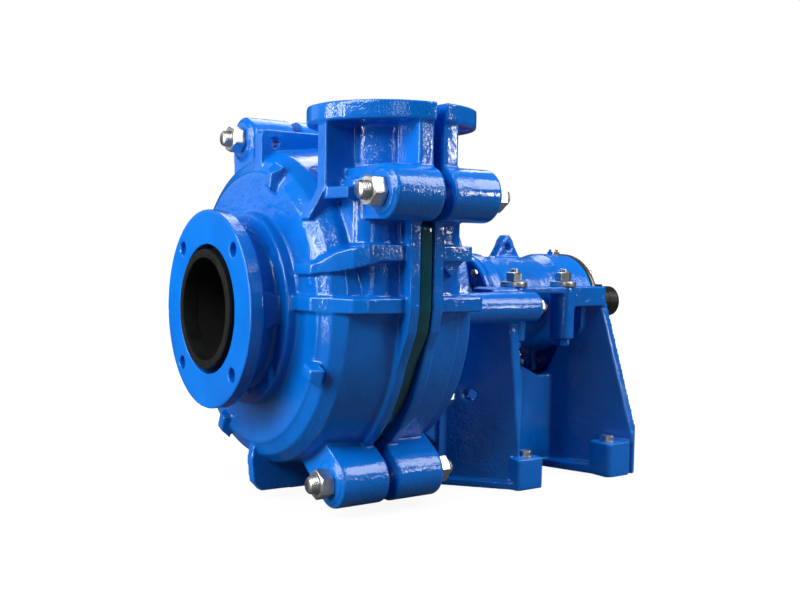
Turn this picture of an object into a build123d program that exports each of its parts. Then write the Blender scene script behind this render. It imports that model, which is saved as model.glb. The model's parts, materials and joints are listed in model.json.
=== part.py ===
from build123d import *
import math
import os

# Slurry pump, all lengths in millimetres, +Z up
# The shaft runs along Y, the suction face looks to -Y and the shaft end to +Y
# Stations along the shaft are measured from the suction face and moved once, in save()
# Heights are measured from the shaft centre and moved once, in save()

# Placing of the whole pump
SHAFT_HEIGHT = 305.0
FOOT_FRONT_Y = 515.0
FOOT_REAR_Y = 715.0
FOOT_HALF_X = 164.0
FOOT_HOLE_R = 9.0
FOOT_HOLE_DEPTH = 20.0
FOOT_BOLT_R = 8.2
FOOT_BOLT_GAP = 6.0
FOOT_MID_Y = (FOOT_FRONT_Y + FOOT_REAR_Y) / 2
GROUND = -SHAFT_HEIGHT

# Suction side
SUCTION_FLANGE_R = 152.5
SUCTION_FLANGE_T = 22.0
SUCTION_PCD = 260.0
SUCTION_HOLE_R = 11.0
SUCTION_RECESS_R = 99.5
SUCTION_BORE_R = 76.0
SUCTION_STEP_R = 150.0
SUCTION_STEP_Y = 60.0

# Discharge side
DISCHARGE_X = 176.0
DISCHARGE_R = 127.0
DISCHARGE_TOP = 303.0
DISCHARGE_T = 27.0
DISCHARGE_PCD = 210.0
DISCHARGE_HOLE_R = 9.5
DISCHARGE_BORE_R = 51.0
NECK_R = 76.0
NECK_FLANGE_HALF = 121.0

# Casing halves
MID_Y = 218.0
SPLIT_GAP = 18.0
RIM_GAP = 28.0
SPLIT_FRONT_Y = MID_Y - SPLIT_GAP / 2
SPLIT_REAR_Y = MID_Y + SPLIT_GAP / 2
DISCHARGE_Y0 = MID_Y - DISCHARGE_R - 5
DISCHARGE_Y1 = MID_Y + DISCHARGE_R + 5
RIM_FRONT_Y = MID_Y - RIM_GAP / 2
RIM_REAR_Y = MID_Y + RIM_GAP / 2
CASING_X = -6.0
CASING_RIM_R = 264.0
CASING_BODY_R = 255.0
CASING_SHOULDER_R = 246.0
CASING_FACE_R = 212.0
COVER_FACE_Y = 78.0
COVER_SHOULDER_Y = 108.0
RIM_T = 17.0
FRAME_FACE_Y = 335.0
FRAME_SHOULDER_Y = 318.0
FRAME_STEP_Y = 298.0
FRAME_STEP_R = 242.0
SIDE_WALL_X = 252.0
SIDE_TOP = 196.0
RIM_SIDE_X = 278.0
RIM_SIDE_TOP = 138.0
RIM_SIDE_LOW = -78.0
SPLIT_PLATE_T = 25.0

# Volute: radius grows from the tongue round to the neck
TONGUE_DEG = 60.0
TONGUE_R = 198.0
THROAT_R = 227.0
CAVITY_HALF = 66.0
LINER_WALL = 15.0
LINER_SIDE = 18.0
LINER_GAP = 1.0
LINER_SIDE_Y0 = MID_Y - CAVITY_HALF - LINER_SIDE
LINER_SIDE_Y1 = MID_Y + CAVITY_HALF + LINER_SIDE
SIDE_OPENING_R = 150.5
LINER_RIM_T = 23.0
LINER_RIM_OUT = 9.0
LINER_RIM_X = 271.0
LINER_RIM_TOP = 131.0
LINER_TOP = DISCHARGE_TOP - 3.0

# Throatbush and back liner
THROAT_DISC_R = 149.0
THROAT_TUBE_R = 95.0
THROAT_Y0 = 20.0
THROAT_DISC_Y0 = 119.0
THROAT_FACE_Y = 166.5
BACK_FACE_Y = 272.5
BACK_DISC_Y1 = 303.0
BACK_BORE_R = 58.0
SEAL_R = 157.5
SEAL_T = 11.0

# Impeller
IMP_R = 182.5
IMP_EYE_R = 74.0
IMP_FRONT_Y = 173.0
IMP_REAR_Y = 266.0
SHROUD_T = 11.0
VANE_COUNT = 5
VANE_T = 13.0
HUB_R = 42.0

# Shaft and seal
SHAFT_THREAD_R = 24.0
SHAFT_WET_R = 25.0
SHAFT_MID_R = 35.0
SHAFT_BEARING_R = 37.5
SHAFT_END_R = 30.0
SHAFT_NOSE_Y = 212.0
SHAFT_TIP_Y = 882.0
KEY_Y0 = 802.0
KEY_Y1 = 852.0
LAND_Y0 = 854.5
LAND_GROOVE = 0.8
SLEEVE_R = 34.0
SLEEVE_Y0 = 272.0
SLEEVE_Y1 = 428.0
BOX_BORE_R = 50.0
BOX_R = 84.0
BOX_FLANGE_R = 97.0
BOX_Y0 = 303.0
BOX_Y1 = 404.0
BOX_FLOOR_Y = 322.0
PACKING_T = 12.5
PACKING_FRONT = 3
PACKING_COUNT = 4
LANTERN_T = 16.0
LANTERN_Y0 = BOX_FLOOR_Y + PACKING_FRONT * PACKING_T
PORT_R = 7.0
PORT_SEAT_Z = 56.0
PORT_INNER_R = 4.0
GLAND_R = 78.0
GLAND_NOSE_Y = 392.0
GLAND_Y0 = 408.0
GLAND_Y1 = 422.0

# Bearing assembly
HOUSING_R = 86.0
HOUSING_END_R = 93.0
HOUSING_Y0 = 500.0
HOUSING_Y1 = 744.0
HOUSING_BORE_R = 70.0
COVER_T = 14.0
GASKET_T = 1.5
CUP_R = 65.0
CUP_W = 30.0
ROLLER_MEAN_R = 53.4
ROLLER_COUNT = 18
FRONT_BEARING_Y = 530.0
REAR_BEARING_Y = 690.0
EYE_Y = 598.0
EYE_TOP = 127.0
EYE_HOLE_Z = 105.0
ADJUST_Z = -113.0
PULL_LUG_Y0 = 660.0
PULL_LUG_Y1 = 672.0
NUT_PLAY = 0.3

# Pedestal
RAIL_TOP = 36.0
RAIL_T = 12.0
RAIL_X0 = 97.0
RAIL_X1 = 137.0
RAIL_Y0 = 452.0
RAIL_Y1 = 728.0
CLAMP_X = 118.0
CLAMP_FRONT_Y = 520.0
CLAMP_REAR_Y = 637.0
COLUMN_R = 21.5
COLUMN_BOTTOM = -58.0
CLAMP_R = 8.0
ARM_X = 158.0
ARM_Z = 3.0
ARM_R = 26.0
ARM_Y1 = 530.0
LOWER_ARM_X = 106.0
LOWER_ARM_Z = -148.0
LOWER_ARM_Y1 = 378.0
RING_R = 196.0
RING_BORE_R = 104.0
RING_Y0 = FRAME_FACE_Y
RING_T = 22.0
WALL_T = 14.0
SADDLE_GAP = 0.06

# Fasteners
CASING_BOLT_R = 13.0
CASING_NUT_R = 23.0
NUT_T = 22.0
BOLT_TIP = 12.0
STUD_R = 9.0
NUT_R = 15.6
HOLE_GAP = 0.5
NEAR_TOP_BOLT = (288.0, 176.0)
FAR_TOP_BOLT = (-143.0, 278.0)
NEAR_LOW_BOLT = (164.0, -251.0)
FAR_LOW_BOLT = (-290.0, -152.0)
CASING_BOLTS = [NEAR_TOP_BOLT, FAR_TOP_BOLT, NEAR_LOW_BOLT, FAR_LOW_BOLT]
BOSS_ROOTS = [(188.0, 176.0), (-137.0, 190.0), (84.0, -196.0), (-190.0, -100.0)]
BOSS_R = 39.0
BOSS_FRONT_Y = 128.0
BOSS_REAR_Y = 312.0
PAD_R = 31.0
PAD_T = 3.5

# Ribs and lugs of the casing
RIB_X = 268.0
RIB_T = 22.0
UPPER_RIB_Z = 92.0
LOWER_RIB_Z = 17.0
LUG_R = 211.0
LUG_Y = 83.0
LUG_TOP = 280.0
LUG_T = 24.0
LUG_HOLE_R = 7.5
LUG_HOLE_Y = 106.0
LUG_HOLE_Z = 260.0
NECK_RIB_Y = 95.0
SHELF_X1 = 250.0
SHELF_TOP = 184.0
SHELF_T = 17.0
GUSSET_X = 128.0


def axis_plane(x, y, z):
    return Plane(origin=(x, y, z), x_dir=(1, 0, 0), z_dir=(0, 1, 0))


def cyl_y(r, y0, y1, x=0.0, z=0.0):
    return extrude(axis_plane(x, y0, z) * Circle(r), y1 - y0)


def cyl_z(r, z0, z1, x=0.0, y=0.0):
    return extrude(Plane((x, y, z0)) * Circle(r), z1 - z0)


def tube_y(r_out, r_in, y0, y1, x=0.0, z=0.0):
    return cyl_y(r_out, y0, y1, x, z) - cyl_y(r_in, y0 - 1, y1 + 1, x, z)


def block(x0, x1, y0, y1, z0, z1):
    size = Box(x1 - x0, y1 - y0, z1 - z0)
    return Pos((x0 + x1) / 2, (y0 + y1) / 2, (z0 + z1) / 2) * size


def turned(points, x=0.0):
    # points are radius and station along the shaft
    face = make_face(Polyline(*points, close=True))
    return Pos(x, 0, 0) * revolve(face, Axis.Y, 360)


def plan_plate(points, z0, z1):
    face = make_face(Polyline(*points, close=True))
    return extrude(Plane((0, 0, z0)) * face, z1 - z0)


def side_plate(points, x0, x1):
    # points are station along the shaft and height
    face = make_face(Polyline(*points, close=True))
    plane = Plane(origin=(x0, 0, 0), x_dir=(0, 1, 0), z_dir=(1, 0, 0))
    return extrude(plane * face, x1 - x0)


def end_plate(points, y0, y1):
    # points are x and height
    face = make_face(Polyline(*[(x, -z) for x, z in points], close=True))
    return extrude(axis_plane(0, y0, 0) * face, y1 - y0)


def hex_y(r, y0, y1, x=0.0, z=0.0, turn=0.0):
    face = axis_plane(x, y0, z) * (Rot(0, 0, turn) * RegularPolygon(r, 6))
    solid = extrude(face, y1 - y0)
    dome = turned([(0, y0), (r * 0.9, y0), (r + 0.2, y0 + 2.2),
                   (r + 0.2, y1 - 2.2), (r * 0.9, y1), (0, y1)])
    return solid & (Pos(x, 0, z) * dome)


def hex_z(r, z0, z1, x, y, turn=0.0):
    solid = extrude(Plane((x, y, z0)) * (Rot(0, 0, turn) * RegularPolygon(r, 6)), z1 - z0)
    face = make_face(Polyline((0, z0), (r * 0.9, z0), (r + 0.2, z0 + 1.8), (r + 0.2, z1 - 1.8),
                              (r * 0.9, z1), (0, z1), close=True))
    dome = revolve(Plane.XZ * face, Axis.Z, 360)
    return solid & (Pos(x, y, 0) * dome)


def bolt_y(r, y0, y1, x=0.0, z=0.0, chamfer_len=2.0):
    body = turned([(0, y0), (r - chamfer_len, y0), (r, y0 + chamfer_len), (r, y1 - chamfer_len),
                   (r - chamfer_len, y1), (0, y1)])
    return Pos(x, 0, z) * body


def merge(parts):
    solid = parts[0]
    for part in parts[1:]:
        solid = solid + part
    return solid


# Volute shape

def volute_face(grow=0.0):
    # the outline grows outward by the same amount all round
    points = []
    steps = 20
    sweep = 360.0 - TONGUE_DEG
    for i in range(steps + 1):
        angle = math.radians(TONGUE_DEG + sweep * i / steps)
        radius = TONGUE_R + (THROAT_R - TONGUE_R) * i / steps + grow
        points.append((radius * math.cos(angle), -radius * math.sin(angle)))
    corner = (points[-1][0], -118.0 - 0.4 * grow)
    curve = Spline(*points)
    return make_face([curve, Line(points[-1], corner), Line(corner, points[0])])


def volute_solid(grow, half, round_r):
    face = axis_plane(0, MID_Y - half, 0) * volute_face(grow)
    solid = extrude(face, 2 * half)
    edges = solid.edges().filter_by_position(Axis.Y, MID_Y - half - 0.1, MID_Y - half + 0.1)
    edges += solid.edges().filter_by_position(Axis.Y, MID_Y + half - 0.1, MID_Y + half + 0.1)
    return fillet(edges, round_r)


def volute_liner():
    solid = volute_solid(LINER_WALL, CAVITY_HALF + LINER_SIDE, 26)
    rim_face = axis_plane(0, MID_Y - LINER_RIM_T / 2, 0) * volute_face(LINER_WALL + LINER_RIM_OUT)
    solid = solid + extrude(rim_face, LINER_RIM_T)
    solid = solid + side_rim(LINER_RIM_X, LINER_RIM_TOP, MID_Y - LINER_RIM_T / 2, MID_Y + LINER_RIM_T / 2)
    solid = solid + cyl_z(DISCHARGE_BORE_R + LINER_WALL, 60, LINER_TOP, DISCHARGE_X, MID_Y)
    solid = solid - volute_solid(0, CAVITY_HALF, 38)
    solid = solid - cyl_z(DISCHARGE_BORE_R, 80, LINER_TOP + 1, DISCHARGE_X, MID_Y)
    solid = solid - cyl_y(SIDE_OPENING_R, LINER_SIDE_Y0 - 1, LINER_SIDE_Y1 + 1)
    groove = SEAL_R + 0.3
    solid = solid - cyl_y(groove, LINER_SIDE_Y0 - 1, LINER_SIDE_Y0 + SEAL_T + 0.3)
    solid = solid - cyl_y(groove, LINER_SIDE_Y1 - SEAL_T - 0.3, LINER_SIDE_Y1 + 1)
    return solid


def liner_pocket():
    solid = volute_solid(LINER_WALL + LINER_GAP, CAVITY_HALF + LINER_SIDE + LINER_GAP, 25)
    return solid + cyl_z(DISCHARGE_BORE_R + LINER_WALL + LINER_GAP, 60, DISCHARGE_TOP + 5, DISCHARGE_X,
                         MID_Y)


def rim_slot():
    # room for the outer rim of the volute liner between the halves
    half = LINER_RIM_T / 2 + LINER_GAP
    face = axis_plane(0, MID_Y - half, 0) * volute_face(LINER_WALL + LINER_RIM_OUT + LINER_GAP)
    slot = extrude(face, 2 * half)
    return slot + side_rim(LINER_RIM_X + LINER_GAP, LINER_RIM_TOP + LINER_GAP, MID_Y - half, MID_Y + half)


def side_rim(x1, z1, y0, y1):
    # straight part of a rim on the discharge side, drawn out from the circle at its lower end
    low = RIM_SIDE_LOW + (RIM_SIDE_TOP - z1)
    bend_x = x1 - 6
    root_x = x1 - (RIM_SIDE_X - 246.0)
    points = [(120, z1), (x1, z1), (x1, 12), (bend_x, -22), (root_x, low), (120, low)]
    return end_plate(points, y0, y1)


def seal_ring(y0):
    return tube_y(SEAL_R, THROAT_DISC_R + 0.3, y0, y0 + SEAL_T)


# Casing halves

def discharge_holes(solid):
    for sx in (-1, 1):
        for sy in (-1, 1):
            x = DISCHARGE_X + sx * DISCHARGE_PCD / 2 * math.sqrt(0.5)
            y = MID_Y + sy * DISCHARGE_PCD / 2 * math.sqrt(0.5)
            solid = solid - cyl_z(DISCHARGE_HOLE_R, DISCHARGE_TOP - DISCHARGE_T - 20, DISCHARGE_TOP + 1,
                                  x, y)
    return solid


def boss_web(spot, root, y0, y1):
    # slab as wide as the boss that ties it to the round casing
    length = math.hypot(root[0] - spot[0], root[1] - spot[1])
    px = -(root[1] - spot[1]) / length
    pz = (root[0] - spot[0]) / length
    half = BOSS_R - 0.6
    root_half = BOSS_R - 3
    points = []
    for (x, z), width in ((spot, half), (spot, -half), (root, -root_half), (root, root_half)):
        points.append((x + px * width, z + pz * width))
    return end_plate(points, y0, y1)


def bosses(y0, y1):
    # the four bolt bosses of one half with their slabs
    parts = []
    for (x, z), root in zip(CASING_BOLTS, BOSS_ROOTS):
        boss = cyl_y(BOSS_R, y0, y1, x, z)
        outer = -1 if y0 > MID_Y else 0
        boss = fillet(boss.edges().group_by(Axis.Y)[outer], 5)
        parts.append(boss)
        w0 = y0 if y0 > MID_Y else y0 + 0.6
        w1 = y1 - 0.6 if y0 > MID_Y else y1
        parts.append(boss_web((x, z), root, w0, w1))
        pad0 = y1 - 1 if y0 > MID_Y else y0 - PAD_T
        parts.append(cyl_y(PAD_R, pad0, pad0 + PAD_T + 1, x, z))
    return merge(parts)


def split_plate(y0, y1):
    # flat flange beside the neck along the parting plane
    x0 = DISCHARGE_X - NECK_FLANGE_HALF
    x1 = DISCHARGE_X + NECK_FLANGE_HALF
    return block(x0, x1, y0, y1, NEAR_TOP_BOLT[1], DISCHARGE_TOP - 8)


def casing_shell(front):
    if front:
        profile = [(0, COVER_FACE_Y), (CASING_FACE_R, COVER_FACE_Y),
                   (CASING_FACE_R + 3, COVER_FACE_Y + 3),
                   (CASING_FACE_R + 20, COVER_FACE_Y + 11), (CASING_SHOULDER_R, COVER_SHOULDER_Y),
                   (CASING_BODY_R, RIM_FRONT_Y - RIM_T), (CASING_RIM_R - 3, RIM_FRONT_Y - RIM_T),
                   (CASING_RIM_R, RIM_FRONT_Y - RIM_T + 3), (CASING_RIM_R, RIM_FRONT_Y), (0, RIM_FRONT_Y)]
        side = block(100, SIDE_WALL_X, COVER_SHOULDER_Y + 14, RIM_FRONT_Y, 0, SIDE_TOP)
        rim = side_rim(RIM_SIDE_X, RIM_SIDE_TOP, RIM_FRONT_Y - RIM_T, RIM_FRONT_Y)
    else:
        profile = [(0, FRAME_FACE_Y), (FRAME_STEP_R - 8, FRAME_FACE_Y), (FRAME_STEP_R, FRAME_FACE_Y - 5),
                   (FRAME_STEP_R, FRAME_STEP_Y + 6), (CASING_BODY_R, FRAME_STEP_Y),
                   (CASING_BODY_R, RIM_REAR_Y + RIM_T), (CASING_RIM_R, RIM_REAR_Y + RIM_T),
                   (CASING_RIM_R, RIM_REAR_Y), (0, RIM_REAR_Y)]
        side = block(100, SIDE_WALL_X, RIM_REAR_Y, FRAME_SHOULDER_Y - 8, 0, SIDE_TOP)
        rim = side_rim(RIM_SIDE_X - 6, RIM_SIDE_TOP, RIM_REAR_Y, RIM_REAR_Y + RIM_T)
    edges = side.edges().filter_by(Axis.Z).filter_by_position(Axis.X, SIDE_WALL_X - 1, SIDE_WALL_X + 1)
    pick = edges.sort_by(Axis.Y)
    edge = pick[0] if front else pick[-1]
    side = fillet(edge, 34)
    return turned(profile, CASING_X) + side + rim


def neck(front):
    y0, y1 = (DISCHARGE_Y0, SPLIT_FRONT_Y) if front else (SPLIT_REAR_Y, DISCHARGE_Y1)
    body = cyl_z(NECK_R, 60, DISCHARGE_TOP - 4, DISCHARGE_X, MID_Y)
    flange = cyl_z(DISCHARGE_R, DISCHARGE_TOP - DISCHARGE_T, DISCHARGE_TOP, DISCHARGE_X, MID_Y)
    flange = fillet(flange.edges().group_by(Axis.Z)[0], 4)
    if front:
        plate = split_plate(SPLIT_FRONT_Y - SPLIT_PLATE_T, SPLIT_FRONT_Y)
    else:
        plate = split_plate(SPLIT_REAR_Y, SPLIT_REAR_Y + SPLIT_PLATE_T)
    solid = body + flange + plate
    return solid & block(-60, 420, y0, y1, 0, 400)


def rib_outline(z0, z1):
    # plan of the two stiffening ribs that run round the discharge side of the cover
    points = [(150, 68), (198, 70), (207, 76), (232, 90), (255, 106), (RIB_X, 124),
              (RIB_X, RIM_FRONT_Y - 2),
              (150, RIM_FRONT_Y - 2)]
    return plan_plate(points, z0, z1)


def upper_cover_rib():
    # the upper rib climbs from the cover face up to its level run at the rim
    top = UPPER_RIB_Z + RIB_T / 2
    low = UPPER_RIB_Z - RIB_T / 2
    points = [(66, top - 30), (77, top - 26), (90, top - 12), (104, top - 5), (122, top),
              (RIM_FRONT_Y, top),
              (RIM_FRONT_Y, low), (140, low - 2), (96, low - 16), (78, low - 20), (66, low - 24)]
    return side_plate(points, 150, 300) & rib_outline(0, SIDE_TOP)


def frame_rib(z, thick, y1):
    points = [(190, RIM_REAR_Y + 2), (RIB_X, RIM_REAR_Y + 2), (RIB_X, y1 - 9), (RIB_X - 3, y1 - 3),
              (RIB_X - 9, y1), (190, y1)]
    return plan_plate(points, z - thick / 2, z + thick / 2)


def wedge_lug(deg):
    solid = loft([
        axis_plane(0, COVER_FACE_Y + 4, 0) * (Pos(LUG_R + 3, 0) * Rectangle(44, 31)),
        axis_plane(0, COVER_FACE_Y - 12, 0) * (Pos(LUG_R, 0) * Rectangle(25, 17)),
    ])
    return Rot(0, deg, 0) * solid


def neck_rib():
    # upright rib in front of the neck, its foot slants down and out on to the cover face
    x0 = DISCHARGE_X - 7
    x1 = DISCHARGE_X + 17
    y0 = NECK_RIB_Y
    upright = block(x0, x1, y0, 150, SHELF_TOP, DISCHARGE_TOP - DISCHARGE_T + 1)
    level = Plane((0, 0, SHELF_TOP + 0.5))
    foot = Plane((0, 0, 138))
    slant = loft([
        level * make_face(Polyline((x0, y0), (x1, y0), (x1, 150), (x0, 150), close=True)),
        foot * make_face(Polyline((x0 - 12, y0 - 20), (x1 - 14, y0 - 20), (x1 - 14, 150), (x0 - 12, 150),
                                  close=True)),
    ], ruled=True)
    return upright + slant


def top_lug():
    points = [(LUG_Y, 205), (LUG_Y, LUG_TOP - 9), (LUG_Y + 3, LUG_TOP - 3), (LUG_Y + 10, LUG_TOP),
              (SPLIT_FRONT_Y - 9, LUG_TOP), (SPLIT_FRONT_Y - 9, 205)]
    lug = side_plate(points, CASING_X, CASING_X + LUG_T)
    return lug - hole_x(LUG_HOLE_R, LUG_HOLE_Y, LUG_HOLE_Z)


def suction_neck():
    neck_profile = [(SUCTION_RECESS_R, 0), (SUCTION_FLANGE_R, 0), (SUCTION_FLANGE_R, SUCTION_FLANGE_T),
                    (126, SUCTION_FLANGE_T), (122, SUCTION_FLANGE_T + 4), (122, SUCTION_STEP_Y - 4),
                    (126, SUCTION_STEP_Y), (SUCTION_STEP_R - 2, SUCTION_STEP_Y),
                    (SUCTION_STEP_R, SUCTION_STEP_Y + 2), (SUCTION_STEP_R, COVER_FACE_Y + 2),
                    (SUCTION_RECESS_R, COVER_FACE_Y + 2)]
    solid = turned(neck_profile)
    for deg in (0, 90, 180, 270):
        # three-cornered plate that stands across the radius, wide at the flange
        gusset = side_plate([(SUCTION_FLANGE_T - 1, -32), (SUCTION_FLANGE_T - 1, 34),
                             (COVER_FACE_Y + 1, 22),
                             (COVER_FACE_Y + 1, -4)], 110, GUSSET_X)
        solid = solid + Rot(0, deg, 0) * gusset
    return solid


def rotation_arrow():
    # plain raised arrow that shows the turning direction
    ring = tube_y(190, 184, COVER_FACE_Y - 1.6, COVER_FACE_Y + 1)
    wedge = end_plate([(0, 0), (260, 62), (260, 112)], COVER_FACE_Y - 5, COVER_FACE_Y + 5)
    shaft_part = ring & wedge
    tip = end_plate([(176, 80), (198, 70), (172, 97)], COVER_FACE_Y - 1.6, COVER_FACE_Y + 1)
    return shaft_part + tip


def hole_x(r, y, z):
    plane = Plane(origin=(-60, y, z), x_dir=(0, 1, 0), z_dir=(1, 0, 0))
    return extrude(plane * Circle(r), 140)


def cover_plate():
    solid = casing_shell(True)
    solid = solid + bosses(BOSS_FRONT_Y, SPLIT_FRONT_Y)
    solid = solid + neck(True)
    solid = solid + suction_neck()
    for deg in (-70, 22, 114, 204):
        solid = solid + wedge_lug(deg)
    solid = solid + upper_cover_rib()
    solid = solid + rib_outline(LOWER_RIB_Z - RIB_T / 2, LOWER_RIB_Z + RIB_T / 2)
    solid = solid + top_lug()
    foot = side_plate([(82, -205), (76, -240), (80, -276), (94, -292), (SPLIT_FRONT_Y - 9, -294),
                       (SPLIT_FRONT_Y - 9, -205)], CASING_X - 2, CASING_X + 16)
    solid = solid + foot
    solid = solid + neck_rib()
    solid = solid + block(DISCHARGE_X, SHELF_X1, NECK_RIB_Y + 2, SPLIT_FRONT_Y, SHELF_TOP - SHELF_T,
                          SHELF_TOP)
    # hollow for the liner, the throatbush and the weight-saving ring
    solid = solid - liner_pocket() - rim_slot()
    solid = solid - cyl_y(SUCTION_RECESS_R, -1, THROAT_DISC_Y0)
    solid = solid - cyl_y(SIDE_OPENING_R - 0.5, THROAT_DISC_Y0 - LINER_GAP, MID_Y)
    relief = tube_y(200, SIDE_OPENING_R + 6, COVER_FACE_Y + 20, LINER_SIDE_Y0)
    for k in range(4):
        relief = relief - Rot(0, 22.5 + 45 * k, 0) * block(-260, 260, 60, 180, -6, 6)
    solid = solid - relief
    for deg in (45, 135, 225, 315):
        x = SUCTION_PCD / 2 * math.cos(math.radians(deg))
        z = SUCTION_PCD / 2 * math.sin(math.radians(deg))
        solid = solid - cyl_y(SUCTION_HOLE_R, -1, SUCTION_FLANGE_T + 1, x, z)
    for x, z in CASING_BOLTS:
        solid = solid - cyl_y(CASING_BOLT_R + HOLE_GAP, BOSS_FRONT_Y - PAD_T - 1, SPLIT_FRONT_Y + 1, x, z)
    solid = discharge_holes(solid)
    return solid + rotation_arrow()


def frame_plate():
    solid = casing_shell(False)
    solid = solid + bosses(SPLIT_REAR_Y, BOSS_REAR_Y)
    solid = solid + neck(False)
    solid = solid + frame_rib(UPPER_RIB_Z, RIB_T, FRAME_FACE_Y - 25)
    solid = solid + frame_rib(LOWER_RIB_Z, RIB_T, FRAME_FACE_Y - 3)
    gusset = side_plate([(RIM_REAR_Y + 4, UPPER_RIB_Z), (FRAME_FACE_Y - 28, UPPER_RIB_Z),
                         (RIM_REAR_Y + RIM_T + 24, UPPER_RIB_Z - RIB_T / 2 - 24)], SIDE_WALL_X - 10,
                         RIB_X - 8)
    solid = solid + gusset
    foot = side_plate([(SPLIT_REAR_Y + 9, -205), (SPLIT_REAR_Y + 9, -294), (300, -294), (326, -240),
                       (326, -205)],
                      CASING_X - 2, CASING_X + 16)
    solid = solid + foot
    lug = side_plate([(SPLIT_REAR_Y + 9, 205), (SPLIT_REAR_Y + 9, 279), (296, 279), (326, 240),
                      (326, 205)],
                     CASING_X - 2, CASING_X + 16)
    solid = solid + lug
    solid = solid - liner_pocket() - rim_slot()
    solid = solid - cyl_y(SIDE_OPENING_R - 0.5, MID_Y, BACK_DISC_Y1)
    solid = solid - cyl_y(BOX_FLANGE_R + 0.5, MID_Y, FRAME_FACE_Y + 1)
    for x, z in CASING_BOLTS:
        solid = solid - cyl_y(CASING_BOLT_R + HOLE_GAP, SPLIT_REAR_Y - 1, BOSS_REAR_Y + PAD_T + 1, x, z)
    for x, z in frame_stud_spots():
        solid = solid - cyl_y(STUD_R, FRAME_FACE_Y - 28, FRAME_FACE_Y + 1, x, z)
    return discharge_holes(solid)


def frame_stud_spots():
    return [(ARM_X, ARM_Z), (-ARM_X, ARM_Z), (LOWER_ARM_X, LOWER_ARM_Z), (-LOWER_ARM_X, LOWER_ARM_Z)]


def throatbush():
    profile = [(SUCTION_BORE_R, THROAT_Y0), (THROAT_TUBE_R, THROAT_Y0),
               (THROAT_TUBE_R, THROAT_DISC_Y0 - 20),
               (SUCTION_RECESS_R - 1, THROAT_DISC_Y0 - 14), (SUCTION_RECESS_R - 1, THROAT_DISC_Y0),
               (THROAT_DISC_R, THROAT_DISC_Y0), (THROAT_DISC_R, THROAT_FACE_Y - 10),
               (THROAT_DISC_R - 10, THROAT_FACE_Y), (SUCTION_BORE_R + 2, THROAT_FACE_Y),
               (SUCTION_BORE_R, THROAT_FACE_Y - 3)]
    return turned(profile)


def back_liner():
    profile = [(BACK_BORE_R, BACK_FACE_Y), (THROAT_DISC_R - 8, BACK_FACE_Y),
               (THROAT_DISC_R, BACK_FACE_Y + 8),
               (THROAT_DISC_R, BACK_DISC_Y1), (BACK_BORE_R, BACK_DISC_Y1)]
    return turned(profile)


def suction_joint_ring():
    profile = [(SUCTION_BORE_R, THROAT_Y0), (92.5, THROAT_Y0), (92.5, -2.5), (90.5, -4.5), (79, -4.5)]
    return turned(profile)


def discharge_joint_ring():
    ring = cyl_z(DISCHARGE_BORE_R + LINER_WALL, LINER_TOP, DISCHARGE_TOP + 3.5, DISCHARGE_X, MID_Y)
    return ring - cyl_z(DISCHARGE_BORE_R, LINER_TOP - 1, DISCHARGE_TOP + 5, DISCHARGE_X, MID_Y)


# Impeller

def vane_face(y, r_in, wrap, thick, start):
    steps = 7
    r_out = IMP_R - 4
    outer = []
    inner = []
    for i in range(steps):
        t = i / (steps - 1)
        radius = r_in + (r_out - r_in) * t
        angle = math.radians(start - wrap * t ** 0.85)
        half = thick / 2 * (0.62 + 0.38 * math.sin(math.pi * min(1.0, t * 1.15)))
        turn = half / radius
        outer.append((radius * math.cos(angle + turn), -radius * math.sin(angle + turn)))
        inner.append((radius * math.cos(angle - turn), -radius * math.sin(angle - turn)))
    edge1 = Spline(*outer)
    edge2 = Spline(*reversed(inner))
    face = make_face([edge1, Line(outer[-1], inner[-1]), edge2, Line(inner[0], outer[0])])
    return axis_plane(0, y, 0) * face


def impeller():
    front = turned([(IMP_EYE_R, IMP_FRONT_Y), (IMP_R, IMP_FRONT_Y), (IMP_R, IMP_FRONT_Y + SHROUD_T),
                    (IMP_EYE_R + 8, IMP_FRONT_Y + SHROUD_T), (IMP_EYE_R, IMP_FRONT_Y + SHROUD_T - 6)])
    rear = turned([(SHAFT_THREAD_R + 0.03, IMP_REAR_Y + 5), (SHAFT_THREAD_R + 0.03, SHAFT_NOSE_Y - 2),
                   (0, SHAFT_NOSE_Y - 2), (0, SHAFT_NOSE_Y - 20), (16, SHAFT_NOSE_Y - 16),
                   (30, SHAFT_NOSE_Y + 2),
                   (HUB_R + 4, SHAFT_NOSE_Y + 28), (HUB_R + 30, IMP_REAR_Y - SHROUD_T),
                   (IMP_R, IMP_REAR_Y - SHROUD_T), (IMP_R, IMP_REAR_Y), (50, IMP_REAR_Y),
                   (50, IMP_REAR_Y + 5)])
    solid = front + rear
    for k in range(VANE_COUNT):
        vane = loft([vane_face(IMP_FRONT_Y + SHROUD_T - 1, 78, 96, VANE_T, 0),
                     vane_face(IMP_REAR_Y - SHROUD_T + 1, 60, 112, VANE_T, 12)], ruled=True)
        solid = solid + Rot(0, 72 * k, 0) * vane
    for k in range(10):
        bar = block(64, 174, IMP_REAR_Y - 1, IMP_REAR_Y + 3, -4, 4)
        solid = solid + Rot(0, 36 * k, 0) * bar
    for k in range(8):
        bar = block(86, 174, IMP_FRONT_Y - 3, IMP_FRONT_Y + 1, -4, 4)
        solid = solid + Rot(0, 45 * k, 0) * bar
    return solid - cyl_y(IMP_EYE_R, IMP_FRONT_Y - 4, IMP_FRONT_Y + 4)


def impeller_seal_ring():
    return tube_y(46, SHAFT_WET_R + 9.4, SLEEVE_Y0 - 0.6, SLEEVE_Y0 + 3.6) & tube_y(46, 34.4, 270, 280)


# Shaft line

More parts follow.
